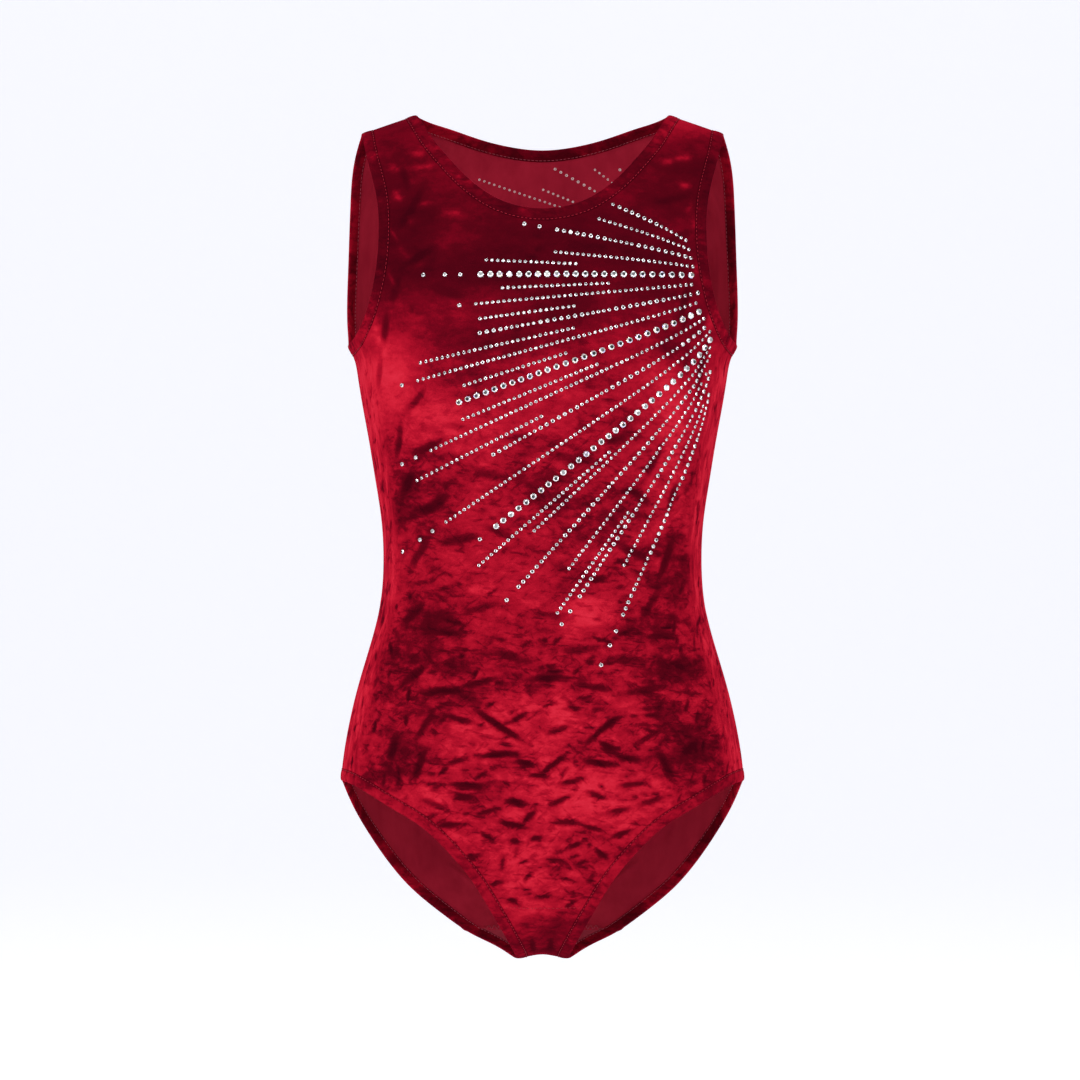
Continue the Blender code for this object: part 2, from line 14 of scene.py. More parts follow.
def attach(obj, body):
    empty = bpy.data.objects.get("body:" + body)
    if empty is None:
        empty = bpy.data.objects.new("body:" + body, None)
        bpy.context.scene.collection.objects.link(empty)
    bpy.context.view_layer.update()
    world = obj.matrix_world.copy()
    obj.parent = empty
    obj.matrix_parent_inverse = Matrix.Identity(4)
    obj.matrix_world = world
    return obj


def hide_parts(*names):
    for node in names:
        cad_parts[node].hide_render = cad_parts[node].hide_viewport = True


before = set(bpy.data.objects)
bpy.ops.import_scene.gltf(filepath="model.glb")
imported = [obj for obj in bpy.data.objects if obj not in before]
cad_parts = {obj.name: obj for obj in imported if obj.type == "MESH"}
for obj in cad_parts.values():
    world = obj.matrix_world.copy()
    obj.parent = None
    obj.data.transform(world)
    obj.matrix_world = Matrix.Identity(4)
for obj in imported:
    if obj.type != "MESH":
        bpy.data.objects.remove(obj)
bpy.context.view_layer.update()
mm = 0.001
quarterTurn = math.pi / 2
print("frame loaded:", ", ".join(sorted(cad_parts)))


# The worn shape, the same as the part's solids have

profileRow = namedtuple("profileRow", "y z")
sideRow = namedtuple("sideRow", "z halfWidth squareness")
edgeRow = namedtuple("edgeRow", "x z")
foldRow = namedtuple("foldRow", "x z halfLength halfWidth turn depth")

shape = {
    "neckHalfWidth": 88.0,
    "shoulderHalfWidth": 127.0,
    "underarmZ": -155.0,
    "legTopZ": -459.0,
    "crotchHalfWidth": 19.5,
    "crotchSeamBehindBase": 54.0,
    "liningTopZ": -544.0,
    "hemWidth": 9.0,
    "shoulderSlope": 0.37,
    "shoulderRounding": 45.0,
    "shoulderMiddle": 107.0,
    "slopeFadesFromZ": -30.0,
    "slopeIsGoneZ": -125.0,
    "radius": 115.0,  # turns the angle round the body into a length
    "halvings": 60,  # steps of each search for a height or a place
    "curveSamples": 900,
    "legSpacing": 1.2,
    "edgeSpacing": 2.5,
    "insetSteps": 3,
    "turnNudge": 1e-3,
    "placeNudge": 0.1,
    "frontProfile": [profileRow(*row) for row in [
        (0, 0), (-24, -6), (-42, -23), (-62, -56), (-80, -100), (-90, -150), (-90, -195), (-83, -245),
        (-78, -295), (-80, -345), (-85, -395), (-86, -435), (-81, -480), (-70, -518), (-52, -552),
        (-28, -575),
    ]],
    "backProfile": [profileRow(*row) for row in [
        (0, -583.5), (30, -579), (57, -564), (81, -538), (98, -504), (106, -465), (104, -425), (90, -380),
        (73, -335), (66, -295), (70, -250), (80, -200), (87, -145), (83, -95), (68, -53), (46, -22),
        (26, -6),
    ]],
    "sides": [sideRow(*row) for row in [
        (0, 140, .25), (-25, 146.5, .25), (-64, 151.5, .25), (-100, 151.5, .25), (-124, 148.5, .24),
        (-142, 143, .23), (-154, 137, .22), (-163, 132.3, .21), (-176, 129.3, .21), (-193, 126.6, .20),
        (-221, 121.5, .19), (-249, 116.9, .18), (-277, 112.7, .17), (-305, 111.3, .16),
        (-333, 113.2, .16), (-361, 119.6, .17), (-389, 127.9, .18), (-417, 134.8, .19),
        (-445, 139.6, .20), (-465, 141.4, .20), (-495, 141.5, .18), (-540, 139, .14), (-583.5, 136, .10),
    ]],
    "neckFront": [edgeRow(*row) for row in [(81, -5), (66, -26), (47, -46), (25, -59.5), (0, -64)]],
    "neckBack": [edgeRow(*row) for row in [(80, 4), (66, .5), (47, -5), (25, -10), (0, -12.5)]],
    "armFront": [edgeRow(*row) for row in [
        (121.5, -28), (114.5, -56), (113, -84), (115.5, -110), (121, -133), (129, -149),
    ]],
    "armBack": [edgeRow(*row) for row in [
        (132.5, -23), (136, -50), (137.5, -79), (138.5, -107), (138.7, -129), (137.5, -146),
    ]],
    "legFront": [edgeRow(*row) for row in [
        (131, -460.5), (116, -468), (102, -476), (85, -486), (64.5, -505), (49, -524), (38.5, -541.5),
        (28.5, -560),
    ]],
    "legBack": [edgeRow(*row) for row in [
        (35.2, -577.3), (50.2, -571.1), (66.4, -561.4), (81.9, -550.1), (94.5, -539.3), (107.7, -524.4),
        (122, -503.5), (133.5, -482),
    ]],
    "frontFolds": [foldRow(*row) for row in [
        (0, -577, 30, 11, 90, 2.6), (15, -556, 26, 6.5, 62, 1.5), (-15, -556, 26, 6.5, -62, 1.5),
        (-26, -396, 34, 11, -24, 1.6), (30, -402, 36, 11, 20, 1.6), (-52, -424, 30, 10, 4, 1.3),
        (44, -436, 34, 11, 12, 1.5), (-8, -452, 40, 12, -4, 1.4), (4, -372, 34, 12, 3, -1.3),
        (-70, -452, 32, 11, -26, 1.2), (74, -448, 32, 11, 24, 1.2), (-60, -338, 36, 13, 14, 1.2),
        (66, -334, 36, 13, -12, 1.2),
    ]],
    "backFolds": [foldRow(*row) for row in [
        (-34, -300, 52, 13, 9, 1.8), (38, -318, 48, 13, -11, 1.6), (4, -338, 60, 14, 2, 1.6),
        (-58, -276, 36, 12, 14, 1.2), (60, -282, 34, 12, -16, 1.2), (-72, -505, 40, 12, -38, 1.4),
        (72, -505, 40, 12, 38, 1.4),
    ]],
}


def cubicSpline(knots, values):  # a natural spline through the rows
    knots = np.asarray(knots, float)
    values = np.asarray(values, float)
    count = len(knots)
    steps = np.diff(knots)
    slopes = np.diff(values) / steps
    matrix = np.eye(count)
    right = np.zeros(count)
    for i in range(1, count - 1):
        matrix[i, i - 1:i + 2] = steps[i - 1], 2 * (steps[i - 1] + steps[i]), steps[i]
        right[i] = 6 * (slopes[i] - slopes[i - 1])
    bend = np.linalg.solve(matrix, right)

    def value(at):
        at = np.asarray(at, float)
        i = np.clip(np.searchsorted(knots, at) - 1, 0, count - 2)
        after = knots[i + 1] - at
        before = at - knots[i]
        step = steps[i]
        return (
            (bend[i] * after**3 + bend[i + 1] * before**3) / (6 * step)
            + (values[i] / step - bend[i] * step / 6) * after
            + (values[i + 1] / step - bend[i + 1] * step / 6) * before
        )

    return value


def lengthsAlong(points):
    gaps = np.linalg.norm(np.diff(np.asarray(points, float), axis=0), axis=1)
    return np.concatenate([[0.0], np.cumsum(gaps)])


class CentreLine:  # the closed side view, as a curve of its own length
    def __init__(self, front, back):
        rows = np.array([*front, *back], float)
        wrap = 4
        around = np.vstack([rows[-wrap:], rows, rows[:wrap + 1]])
        knots = lengthsAlong(around)
        start = knots[wrap]
        self.length = knots[wrap + len(rows)] - start
        self.base = knots[wrap + len(front)] - start
        self.yOf = cubicSpline(knots - start, around[:, 0])
        self.zOf = cubicSpline(knots - start, around[:, 1])

    def alongAt(self, z, onFront):
        top = 0.0 if onFront else self.length
        bottom = self.base
        for _ in range(shape["halvings"]):
            middle = (top + bottom) / 2
            if self.zOf(middle) > z:
                top = middle
            else:
                bottom = middle
        return (top + bottom) / 2


centre = CentreLine(shape["frontProfile"], shape["backProfile"])
sidesUp = shape["sides"][::-1]
halfWidthAt = cubicSpline([row.z for row in sidesUp], [row.halfWidth for row in sidesUp])
squarenessAt = cubicSpline([row.z for row in sidesUp], [row.squareness for row in sidesUp])


def smoothStep(low, high, value):
    share = np.clip((np.asarray(value, float) - low) / (high - low), 0, 1)
    return share * share * (3 - 2 * share)


def shoulderDrop(x, z):
    outward = np.sqrt(x * x + shape["shoulderRounding"] ** 2)
    middle = math.hypot(shape["shoulderMiddle"], shape["shoulderRounding"])
    full = smoothStep(shape["slopeIsGoneZ"], shape["slopeFadesFromZ"], z)
    return shape["shoulderSlope"] * (outward - middle) * full


def plainForm(angle, along):
    along = np.mod(along, centre.length)
    y, z = centre.yOf(along), centre.zOf(along)
    x = halfWidthAt(z) * np.sin(angle)
    squarer = 1 + squarenessAt(z) * np.sin(angle) ** 2
    return np.stack([x, y * np.cos(angle) * squarer, z - shoulderDrop(x, z)], axis=-1)


def normalsOf(surface, angle, along, step=0.25):
    turn = step / shape["radius"]
    sideways = surface(angle + turn, along) - surface(angle - turn, along)
    downwards = surface(angle, along + step) - surface(angle, along - step)
    normal = np.cross(downwards, sideways)
    return normal / np.linalg.norm(normal, axis=-1, keepdims=True)


def foldDepth(x, z, folds):
    depth = np.zeros_like(x)
    for fold in folds:
        turn = math.radians(fold.turn)
        u = (x - fold.x) * math.cos(turn) + (z - fold.z) * math.sin(turn)
        v = (z - fold.z) * math.cos(turn) - (x - fold.x) * math.sin(turn)
        depth += fold.depth * np.exp(-((u / fold.halfLength) ** 2) - (v / fold.halfWidth) ** 2)
    return depth


def onFrontOf(along):
    return np.mod(along, centre.length) < centre.base


def foldedForm(angle, along):
    point = plainForm(angle, along)
    front = foldDepth(point[..., 0], point[..., 2], shape["frontFolds"])
    back = foldDepth(point[..., 0], point[..., 2], shape["backFolds"] + shape["frontFolds"][:1])
    depth = np.where(onFrontOf(along), front, back)
    return point - normalsOf(plainForm, angle, along) * depth[..., None]


def locate(x, z, onFront):
    low, high = sidesUp[0].z, sidesUp[-1].z
    for _ in range(shape["halvings"]):
        middle = (low + high) / 2
        if middle - shoulderDrop(x, middle) > z:
            high = middle
        else:
            low = middle
    ringZ = (low + high) / 2
    angle = math.asin(max(-1.0, min(1.0, x / float(halfWidthAt(ringZ)))))
    return angle, centre.alongAt(ringZ, onFront)


def evenPoints(rows, spacing, mirrorStart, mirrorEnd):
    rows = np.array(rows, float)
    before = np.array([mirrorStart(row) for row in rows[3:0:-1]])
    after = np.array([mirrorEnd(row) for row in rows[-2:-5:-1]])
    around = np.vstack([before, rows, after])
    knots = lengthsAlong(around * [shape["radius"], 1.0])
    angleOf = cubicSpline(knots, around[:, 0])
    alongOf = cubicSpline(knots, around[:, 1])
    fine = np.linspace(knots[3], knots[2 + len(rows)], shape["curveSamples"])
    lengths = lengthsAlong(plainForm(angleOf(fine), alongOf(fine)))
    count = int(round(lengths[-1] / spacing)) + 1
    at = np.interp(np.linspace(0, lengths[-1], count), lengths, fine)
    return np.stack([angleOf(at), alongOf(at)], axis=1)


def moved(points, directions):  # rows of angle and place, moved over the cloth by lengths in space
    position = plainForm(points[:, 0], points[:, 1])
    turn, place = shape["turnNudge"], shape["placeNudge"]
    byAngle = (plainForm(points[:, 0] + turn, points[:, 1]) - position) / turn
    byAlong = (plainForm(points[:, 0], points[:, 1] + place) - position) / place
    jacobian = np.stack([byAngle, byAlong], axis=2)
    steps = [np.linalg.lstsq(jacobian[i], directions[i], rcond=None)[0] for i in range(len(points))]
    return points + np.array(steps)


def inset(points, distance, side):
    result = points.copy()
    steps = shape["insetSteps"]
    for _ in range(steps):
        position = plainForm(result[:, 0], result[:, 1])
        tangent = np.gradient(position, axis=0)
        tangent /= np.linalg.norm(tangent, axis=1, keepdims=True)
        normal = normalsOf(plainForm, result[:, 0], result[:, 1])
        result = moved(result, np.cross(tangent, normal) * side * distance / steps)
    return result


def evenly(line, count):
    lengths = lengthsAlong(plainForm(line[:, 0], line[:, 1]))
    at = np.linspace(0, lengths[-1], count)
    return np.stack([np.interp(at, lengths, line[:, column]) for column in (0, 1)], axis=1)


def located(rows, onFront):
    return [locate(row.x, row.z, onFront) for row in rows]


def makeEdges(spacing):  # each free edge on the wearer's left, as its fold line and its stitched line
    end = centre.length
    acrossCentre = lambda row: (-row[0], row[1])
    acrossSide = lambda row: (math.pi - row[0], row[1])
    overFront = lambda row: (row[0], -row[1])
    overBack = lambda row: (row[0], 2 * end - row[1])
    topWidth = shape["sides"][0].halfWidth
    neck = math.asin(shape["neckHalfWidth"] / topWidth)
    shoulder = math.asin(shape["shoulderHalfWidth"] / topWidth)
    rows = {
        "neckFront": ([(neck, 0.0), *located(shape["neckFront"], True)], -1, overFront, acrossCentre),
        "neckBack": ([(neck, end), *located(shape["neckBack"], False)], 1, overBack, acrossCentre),
        "armFront": (
            [(shoulder, 0.0), *located(shape["armFront"], True),
             (quarterTurn, centre.alongAt(shape["underarmZ"], True))], 1, overFront, acrossSide),
        "armBack": (
            [(shoulder, end), *located(shape["armBack"], False),
             (quarterTurn, centre.alongAt(shape["underarmZ"], False))], -1, overBack, acrossSide),
    }
    edges = {}
    for name, (line, side, mirrorStart, mirrorEnd) in rows.items():
        fold = evenPoints(line, spacing, mirrorStart, mirrorEnd)
        stitched = inset(fold, shape["hemWidth"], side)
        for edge in (fold, stitched):
            edge[0, 1] = 0.0 if name.endswith("Front") else end
            edge[-1, 0] = 0.0 if name.startswith("neck") else quarterTurn
        edges[name] = (fold, stitched)
    base = (math.asin(shape["crotchHalfWidth"] / shape["sides"][-1].halfWidth), centre.base)
    legRows = [
        (quarterTurn, centre.alongAt(shape["legTopZ"], True)),
        *located(shape["legFront"], True),
        base,
        *located(shape["legBack"], False),
        (quarterTurn, centre.alongAt(shape["legTopZ"], False)),
    ]
    whole = evenPoints(legRows, shape["legSpacing"], acrossSide, acrossSide)
    wholeStitched = inset(whole, shape["hemWidth"], 1)
    seam = centre.base + shape["crotchSeamBehindBase"]
    for name, keep in (("legFront", lambda line: line[line[:, 1] < seam]),
                       ("legBack", lambda line: line[line[:, 1] > seam][::-1])):
        fold, stitched = keep(whole), keep(wholeStitched)
        count = int(round(lengthsAlong(plainForm(fold[:, 0], fold[:, 1]))[-1] / spacing)) + 1
        edges[name] = (evenly(fold, count), evenly(stitched, count))
        for edge in edges[name]:
            edge[0, 0] = quarterTurn
            edge[-1, 1] = seam
    return edges


# The creases of the crushed cloth, listed one by one; bend curves them, and a negative depth stands out

# the dark column paints shade along each crease, partly the pile's own lay; a negative dark paints a
# highlight
creaseRow = namedtuple("creaseRow", "x z halfLength halfWidth turn depth bend dark")
toneRow = namedtuple("toneRow", "x z radiusX radiusZ amount")

velvet = {
    "panelSpacing": 2.6,
    "fineAbove": .16,  # where the painted crease shade or highlight is stronger than this, the mesh is twice as fine
    "thickness": 1.1,
    "calmWithin": 3.0,  # creases flatten this close to the seams and stitched lines
    "calmed": 0.35,
    "frontCreases": [creaseRow(*row) for row in [
        # upper chest: few and soft
        (-88, -62, 17, 3.4, 62, .5, .004, .3), (-96, -40, 11, 3, -70, .4, -.006, .3),
        (88, -58, 15, 3.2, 12, .5, .008, .25), (93, -84, 12, 3, 24, .4, 0, .25),
        (-84, -98, 12, 3.4, 35, .5, 0, .3), (-66, -122, 14, 4, -18, .5, .004, .25),
        (-100, -120, 9, 3, 74, .5, 0, .3), (30, -92, 16, 5, -8, .4, 0, .2),
        (-20, -112, 18, 5, 10, .4, 0, .2), (98, -128, 12, 3, 76, .7, .004, .35),
        (-108, -150, 14, 2.6, 80, .9, .003, .4), (-112, -176, 9, 2.2, 84, .8, 0, .45),
        (110, -172, 16, 3, 78, .9, -.003, .4),
        # painted highlights: bright smears near the armholes
        (-102, -34, 6, 2.6, 4, .1, 0, -.5), (-87, -24, 6, 2.2, -4, .1, 0, -.35),
        (-82, -34, 8, 2.4, 10, .1, 0, -.35), (-100, -54, 5, 2.6, -42, .1, 0, -.5),
        (-81, -60, 5, 2, 14, .1, 0, -.3), (-63, -67, 8, 3, 6, .1, 0, -.3),
        (-91, -71, 4, 2.6, -50, .1, 0, -.35), (-103, -80, 8, 1.4, -58, .1, 0, -.4),
        (-95, -94, 6, 2.4, -48, .1, 0, -.3), (-104, -111, 8, 1.6, -66, .1, 0, -.4),
        (-113, -112, 7, 1.4, -78, .1, 0, -.35), (-86, -103, 7, 2.6, 8, .1, 0, -.25),
        (97, -27, 6, 2, 4, .1, 0, -.5), (86, -30, 5, 2.6, 20, .1, 0, -.3),
        (98, -47, 5, 2.6, 24, .1, 0, -.4), (101, -63, 5, 2, 60, .1, 0, -.35),
        (104, -76, 6, 1.6, 66, .1, 0, -.3), (106, -104, 8, 2, 78, .1, 0, -.3),
        (116, -140, 9, 3, 62, .1, 0, -.45), (-117, -142, 9, 3, -66, .1, 0, -.5),
        (-110, -158, 9, 2.4, -70, .1, 0, -.35),
        # ribs
        (-86, -196, 10, 3, 48, .8, .01, .5), (-78, -228, 13, 3.2, 20, .9, .006, .5),
        (-60, -214, 12, 3, -12, .6, 0, .3), (-92, -252, 9, 3.4, 66, 1, 0, .6),
        (-74, -268, 12, 4, 34, .9, .01, .55), (-40, -246, 15, 4, -16, .5, .004, .3),
        (-16, -222, 13, 3.4, 9, .5, 0, .3), (18, -236, 16, 4, -7, .5, 0, .3),
        (52, -222, 12, 3.6, 22, .6, .006, .4), (78, -236, 15, 3, 62, .9, .004, .5),
        (90, -262, 10, 3, 74, .9, 0, .55), (66, -262, 11, 3, -34, .7, 0, .45),
        (-98, -222, 12, 2.4, 82, .8, .004, .5), (-58, -292, 14, 3.6, 12, .8, .006, .45),
        (-84, -300, 12, 3.2, 58, .9, 0, .5), (-30, -286, 12, 3.2, -22, .5, 0, .35),
        # waist
        (39, -318, 6, 2.6, 15, .9, 0, .6), (62, -300, 12, 3.2, -26, .7, .005, .45),
        (86, -304, 14, 3, 70, .9, .003, .5), (74, -336, 10, 2.8, 58, .8, 0, .45),
        (-65, -355, 12, 2.6, -2, .9, .006, .5), (-42, -338, 13, 3, 16, .7, 0, .4),
        (-88, -342, 10, 3, 44, .9, .008, .5), (10, -344, 13, 3, -10, .7, 0, .35),
        (81, -357, 9, 2.6, 2, .8, -.006, .5), (28, -366, 12, 3, 8, .8, .004, .4),
        (-24, -370, 12, 3, -14, .8, 0, .4), (58, -374, 14, 3.4, -7, .7, .004, .4),
        # stomach: the deepest and darkest
        (5, -385.5, 10, 2.8, 4, 1.3, .006, .7), (-66, -394, 11, 2.4, 0, 1.4, -.006, .85),
        (-41, -388, 12, 2.4, 14, 1.1, .004, .6), (-88, -384, 12, 3, 40, 1, 0, .5),
        (36, -392, 12, 2.6, -12, 1.2, 0, .6), (70, -394, 15, 3, 9, 1, .003, .5),
        (-30, -418, 19, 2.8, -33, 2.1, .002, 1), (-16, -412, 7, 2, 30, 1.3, 0, .8),
        (42, -419.5, 15, 2.4, 39, 1.7, -.004, .9), (11, -420.5, 8, 2.2, 18, 1.3, 0, .75),
        (20, -404, 7, 2, -50, 1, 0, .6), (-56, -414, 11, 2.6, -14, 1.3, .004, .65),
        (-80, -418, 12, 2.8, 58, 1.1, 0, .5), (44, -432, 7, 2.6, -31, 1.5, 0, .85),
        (7.3, -444.6, 12, 2.4, 37, 1.8, .003, .95), (-30, -437.5, 15, 2.4, 5, 1.8, -.003, .95),
        (-11.6, -443.6, 7, 2.8, -15, 1.7, 0, 1), (38.5, -443.5, 12, 2.8, -8, 1.9, .003, 1),
        (58, -440, 9, 2.2, -12, 1.3, 0, .7), (72, -426, 11, 2.4, 28, 1.1, 0, .55),
        (-58, -442, 10, 2.4, 22, 1.2, 0, .6), (-84, -446, 11, 2.8, 70, 1.2, 0, .6),
        (84, -446, 12, 2.8, -64, 1.1, 0, .55), (101.6, -434, 6, 3, 36, 1, 0, .6),
        (-102, -434, 9, 3, 76, 1, 0, .6), (20, -456, 9, 2.4, 12, 1.6, .006, .9),
        (-2, -452, 8, 2, -6, 1.3, 0, .8), (62, -458, 10, 2.4, 6, 1.4, 0, .75),
        (-51, -459, 12, 2.4, -4, 1.6, .005, .85), (-18.6, -470, 7, 2.8, -6, 1.6, 0, 1),
        (-54, -467, 8, 3.2, 0, 1.4, 0, .8), (-74, -472, 11, 2.6, -22, 1.2, 0, .6),
        (12, -469, 9, 2.4, 26, 1.5, 0, .85), (36, -465, 7, 2.4, -24, 1.4, 0, .8),
        (74, -470, 11, 2.6, 18, 1.2, 0, .6), (-36, -476, 8, 2, 14, 1.1, 0, .6),
        (52, -476, 9, 2.4, 10, 1.3, 0, .75),
        # below the stomach: short nicks
        (-20.7, -485.7, 10, 2.4, -12, 1.7, 0, 1), (-9, -480, 7, 2.2, 45, 1.5, 0, .95),
        (-62, -486, 12, 2.2, 4, 1.3, 0, .7), (15, -484, 9, 2.4, 2, 1.5, 0, .9),
        (34, -488, 8, 2.2, -16, 1.2, 0, .75), (54, -492, 8, 2.2, 20, 1.1, 0, .6),
        (-38, -494, 5, 2, -28, 1.1, 0, .75), (-4, -495, 4.5, 2.4, 8, 1.1, 0, .9),
        (-19, -497, 3.6, 1.9, -6, 1, 0, .8), (22, -500, 6, 2, 24, 1, 0, .7),
        (-46, -508, 6, 2, 30, .9, 0, .55), (-27, -512, 5, 1.8, 82, .8, 0, .6),
        (8, -510, 7, 1.8, -4, .9, 0, .6), (40, -506, 6, 1.8, -40, .9, 0, .6),
        (-10, -522, 5, 1.8, 56, .9, 0, .65), (18, -524, 6, 1.8, -18, .9, 0, .55),
        (-30, -526, 5, 1.7, 12, .8, 0, .55), (34, -522, 5, 1.8, 70, .8, 0, .5),
        (0, -536, 6, 1.8, 6, .8, 0, .5), (-20, -540, 5, 1.6, -24, .7, 0, .5),
        (20, -541, 5, 1.6, 30, .7, 0, .5), (25, -562, 15, 2.2, 66, 1.8, 0, .9),
        (-25, -562, 15, 2.2, -66, 1.8, 0, .9), (6, -572, 6, 2, 84, .9, 0, .4),
        (-7, -573, 6, 2, -82, .9, 0, .4),
    ]],
    "backCreases": [creaseRow(*row) for row in [
        # shoulder blades
        (-70, -58, 16, 4, 30, .6, .004, .3), (64, -66, 15, 4, -24, .6, 0, .3),
        (-20, -92, 18, 5, 8, .5, 0, .25), (26, -124, 17, 5, -12, .6, .004, .3),
        (-84, -112, 14, 3.6, 68, .8, 0, .4), (88, -104, 15, 3.4, -72, .8, 0, .4),
        (-48, -148, 16, 4, 18, .7, .003, .35), (58, -160, 15, 4, -20, .7, 0, .4),
        (0, -176, 20, 5, 3, .6, 0, .3), (-104, -176, 12, 2.6, 80, .9, 0, .45),
        (106, -168, 12, 2.8, -78, .9, 0, .45),
        # above the waist
        (-72, -214, 15, 3.4, 36, .9, .005, .5), (68, -206, 14, 3.4, -38, .9, 0, .5),
        (-30, -226, 16, 3.8, -12, .8, 0, .4), (34, -240, 17, 3.8, 14, .8, .003, .45),
        (-88, -250, 12, 3, 62, 1, 0, .5), (86, -256, 13, 3, -60, 1, 0, .5),
        (-8, -258, 15, 3.2, 7, 1, .004, .5), (-56, -270, 17, 3, 10, 1.3, -.003, .6),
        (52, -276, 16, 3, -12, 1.3, .004, .6),
        # small of the back: gathered across
        (-20, -288, 22, 3, 4, 1.6, .002, .75), (30, -300, 21, 3, -7, 1.7, -.002, .8),
        (-50, -308, 18, 2.8, 13, 1.4, 0, .7), (74, -312, 13, 2.8, -22, 1.3, 0, .6),
        (-6, -318, 24, 3, -2, 1.8, .002, .8), (-82, -326, 12, 2.8, 34, 1.2, 0, .55),
        (46, -330, 17, 2.8, -12, 1.4, 0, .65), (-34, -338, 18, 3, 9, 1.4, .003, .65),
        (8, -350, 18, 3, 3, 1.2, 0, .55), (-68, -356, 13, 3, 26, 1.1, 0, .5),
        (72, -358, 13, 3, -28, 1.1, 0, .5),
        # seat
        (-22, -384, 14, 3, -20, 1, .004, .5), (26, -396, 14, 3, 24, 1, 0, .5),
        (-64, -402, 13, 3, 38, .9, 0, .45), (62, -414, 13, 3, -34, .9, 0, .45),
        (-94, -410, 12, 2.8, 72, 1, 0, .5), (96, -420, 12, 2.8, -70, 1, 0, .5),
        (0, -428, 15, 2.6, 88, 1.5, 0, .5), (-36, -436, 13, 2.6, -28, 1.1, 0, .6),
        (38, -446, 13, 2.6, 32, 1.1, 0, .6), (-74, -452, 13, 2.8, -48, 1, 0, .5),
        (78, -460, 12, 2.8, 50, 1, 0, .5), (-14, -466, 12, 2.6, 16, 1, 0, .6),
        (18, -480, 12, 2.6, -20, 1, 0, .6), (-48, -486, 14, 2.6, -38, 1.3, 0, .65),
        (52, -494, 14, 2.6, 38, 1.3, 0, .65), (-82, -500, 14, 2.6, -44, 1.2, 0, .55),
        (86, -498, 14, 2.6, 46, 1.2, 0, .55), (0, -506, 12, 2.4, 84, 1.2, 0, .5),
        (-30, -520, 12, 2.4, -30, 1.2, 0, .6), (32, -524, 12, 2.4, 32, 1.2, 0, .6),
        (-58, -532, 12, 2.4, -36, 1.1, 0, .55), (60, -530, 12, 2.4, 38, 1.1, 0, .55),
        (-10, -544, 9, 2.2, -20, 1, 0, .5), (14, -552, 9, 2.2, 24, 1, 0, .5),
    ]],
    # painted light and shade over the front's form, mixed with the pile's lay: darker over the upper chest,
    # the turning sides and the crotch, brighter over the stomach
    "frontLightShadeAndPile": [toneRow(*row) for row in [
        (0, -92, 150, 62, -.34), (-98, -34, 40, 34, -.17), (98, -34, 40, 34, -.21),
        (-110, -116, 22, 36, -.14), (-106, -178, 20, 26, .24), (-66, -206, 34, 13, .16),
        (20, -192, 34, 12, .10), (86, -214, 17, 30, .24), (-84, -262, 19, 22, -.16),
        (-30, -226, 26, 20, .06), (30, -262, 38, 20, -.05), (-86, -312, 22, 18, .06),
        (82, -326, 24, 30, -.18), (-84, -408, 26, 30, -.10), (0, -350, 90, 50, -.04),
        (27, -340, 15, 13, .28), (-72, -352, 30, 30, -.14), (86, -378, 24, 12, -.24),
        (60, -300, 22, 20, .1), (-10, -316, 24, 12, .14), (2, -384, 14, 8, -.16), (13, -405, 9, 20, .24),
        (-24, -402, 14, 9, .18), (-30, -428, 34, 15, .18), (26, -452, 44, 15, .20),
        (0, -482, 52, 17, .20), (0, -514, 44, 20, .12), (0, -542, 26, 10, .04), (0, -570, 34, 16, -.24),
        (-100, -440, 15, 34, -.16), (98, -430, 18, 34, -.14), (-74, -462, 20, 12, .1),
        (76, -462, 20, 14, .08), (-54, -398, 18, 9, -.06), (60, -406, 26, 12, .04),
    ]],
    # painted light and shade over the back's form, mixed with the pile's lay: brighter over the seat, darker
    # in its cleft and across the small of the back
    "backLightShadeAndPile": [toneRow(*row) for row in [
        (0, -70, 110, 48, -.16), (-52, -130, 36, 34, .08), (56, -140, 34, 36, .1), (0, -190, 60, 24, -.1),
        (-70, -236, 26, 22, .18), (66, -250, 24, 24, .14), (0, -262, 30, 16, .12),
        (-34, -306, 44, 13, -.12), (40, -330, 40, 13, -.08), (0, -358, 40, 14, .1),
        (-44, -420, 36, 34, .26), (48, -426, 36, 34, .24), (0, -436, 12, 40, -.14),
        (-70, -486, 22, 18, -.08), (70, -486, 22, 18, -.06), (-30, -510, 24, 16, .14),
        (34, -512, 24, 16, .14), (0, -556, 30, 14, -.1),
    ]],
    "nicks": 240,  # short slits in the pile, made by a loop between the main creases
    "nickSeed": 11,
    "nickOut": 118,
    "nickHeights": (-565, -60, -470),
    "nickLean": (4, 24),  # mean and spread
    "nickSideLean": (82, 10),
    "nickSideFrom": 88,
    "nickLength": (1.8, 5.2),
    "nickWidth": (.9, 1.5),
    "nickDepth": (.12, .45),
    "nickDark": (.3, .8),
    "nicksDeepen": (-200, -420),
    "sideSheenBand": (.86, .955),  # a painted sheen, with the pile's streaks, runs up the sides beyond this sine of the angle
    "armBand": (-175, -150),
    "crispBands": [(-120, -250, .75), (-300, -430, .25)],  # the crushing grows sharper down the body
    "calmBand": (-535, -558, .7),  # and calm again at the crotch
}


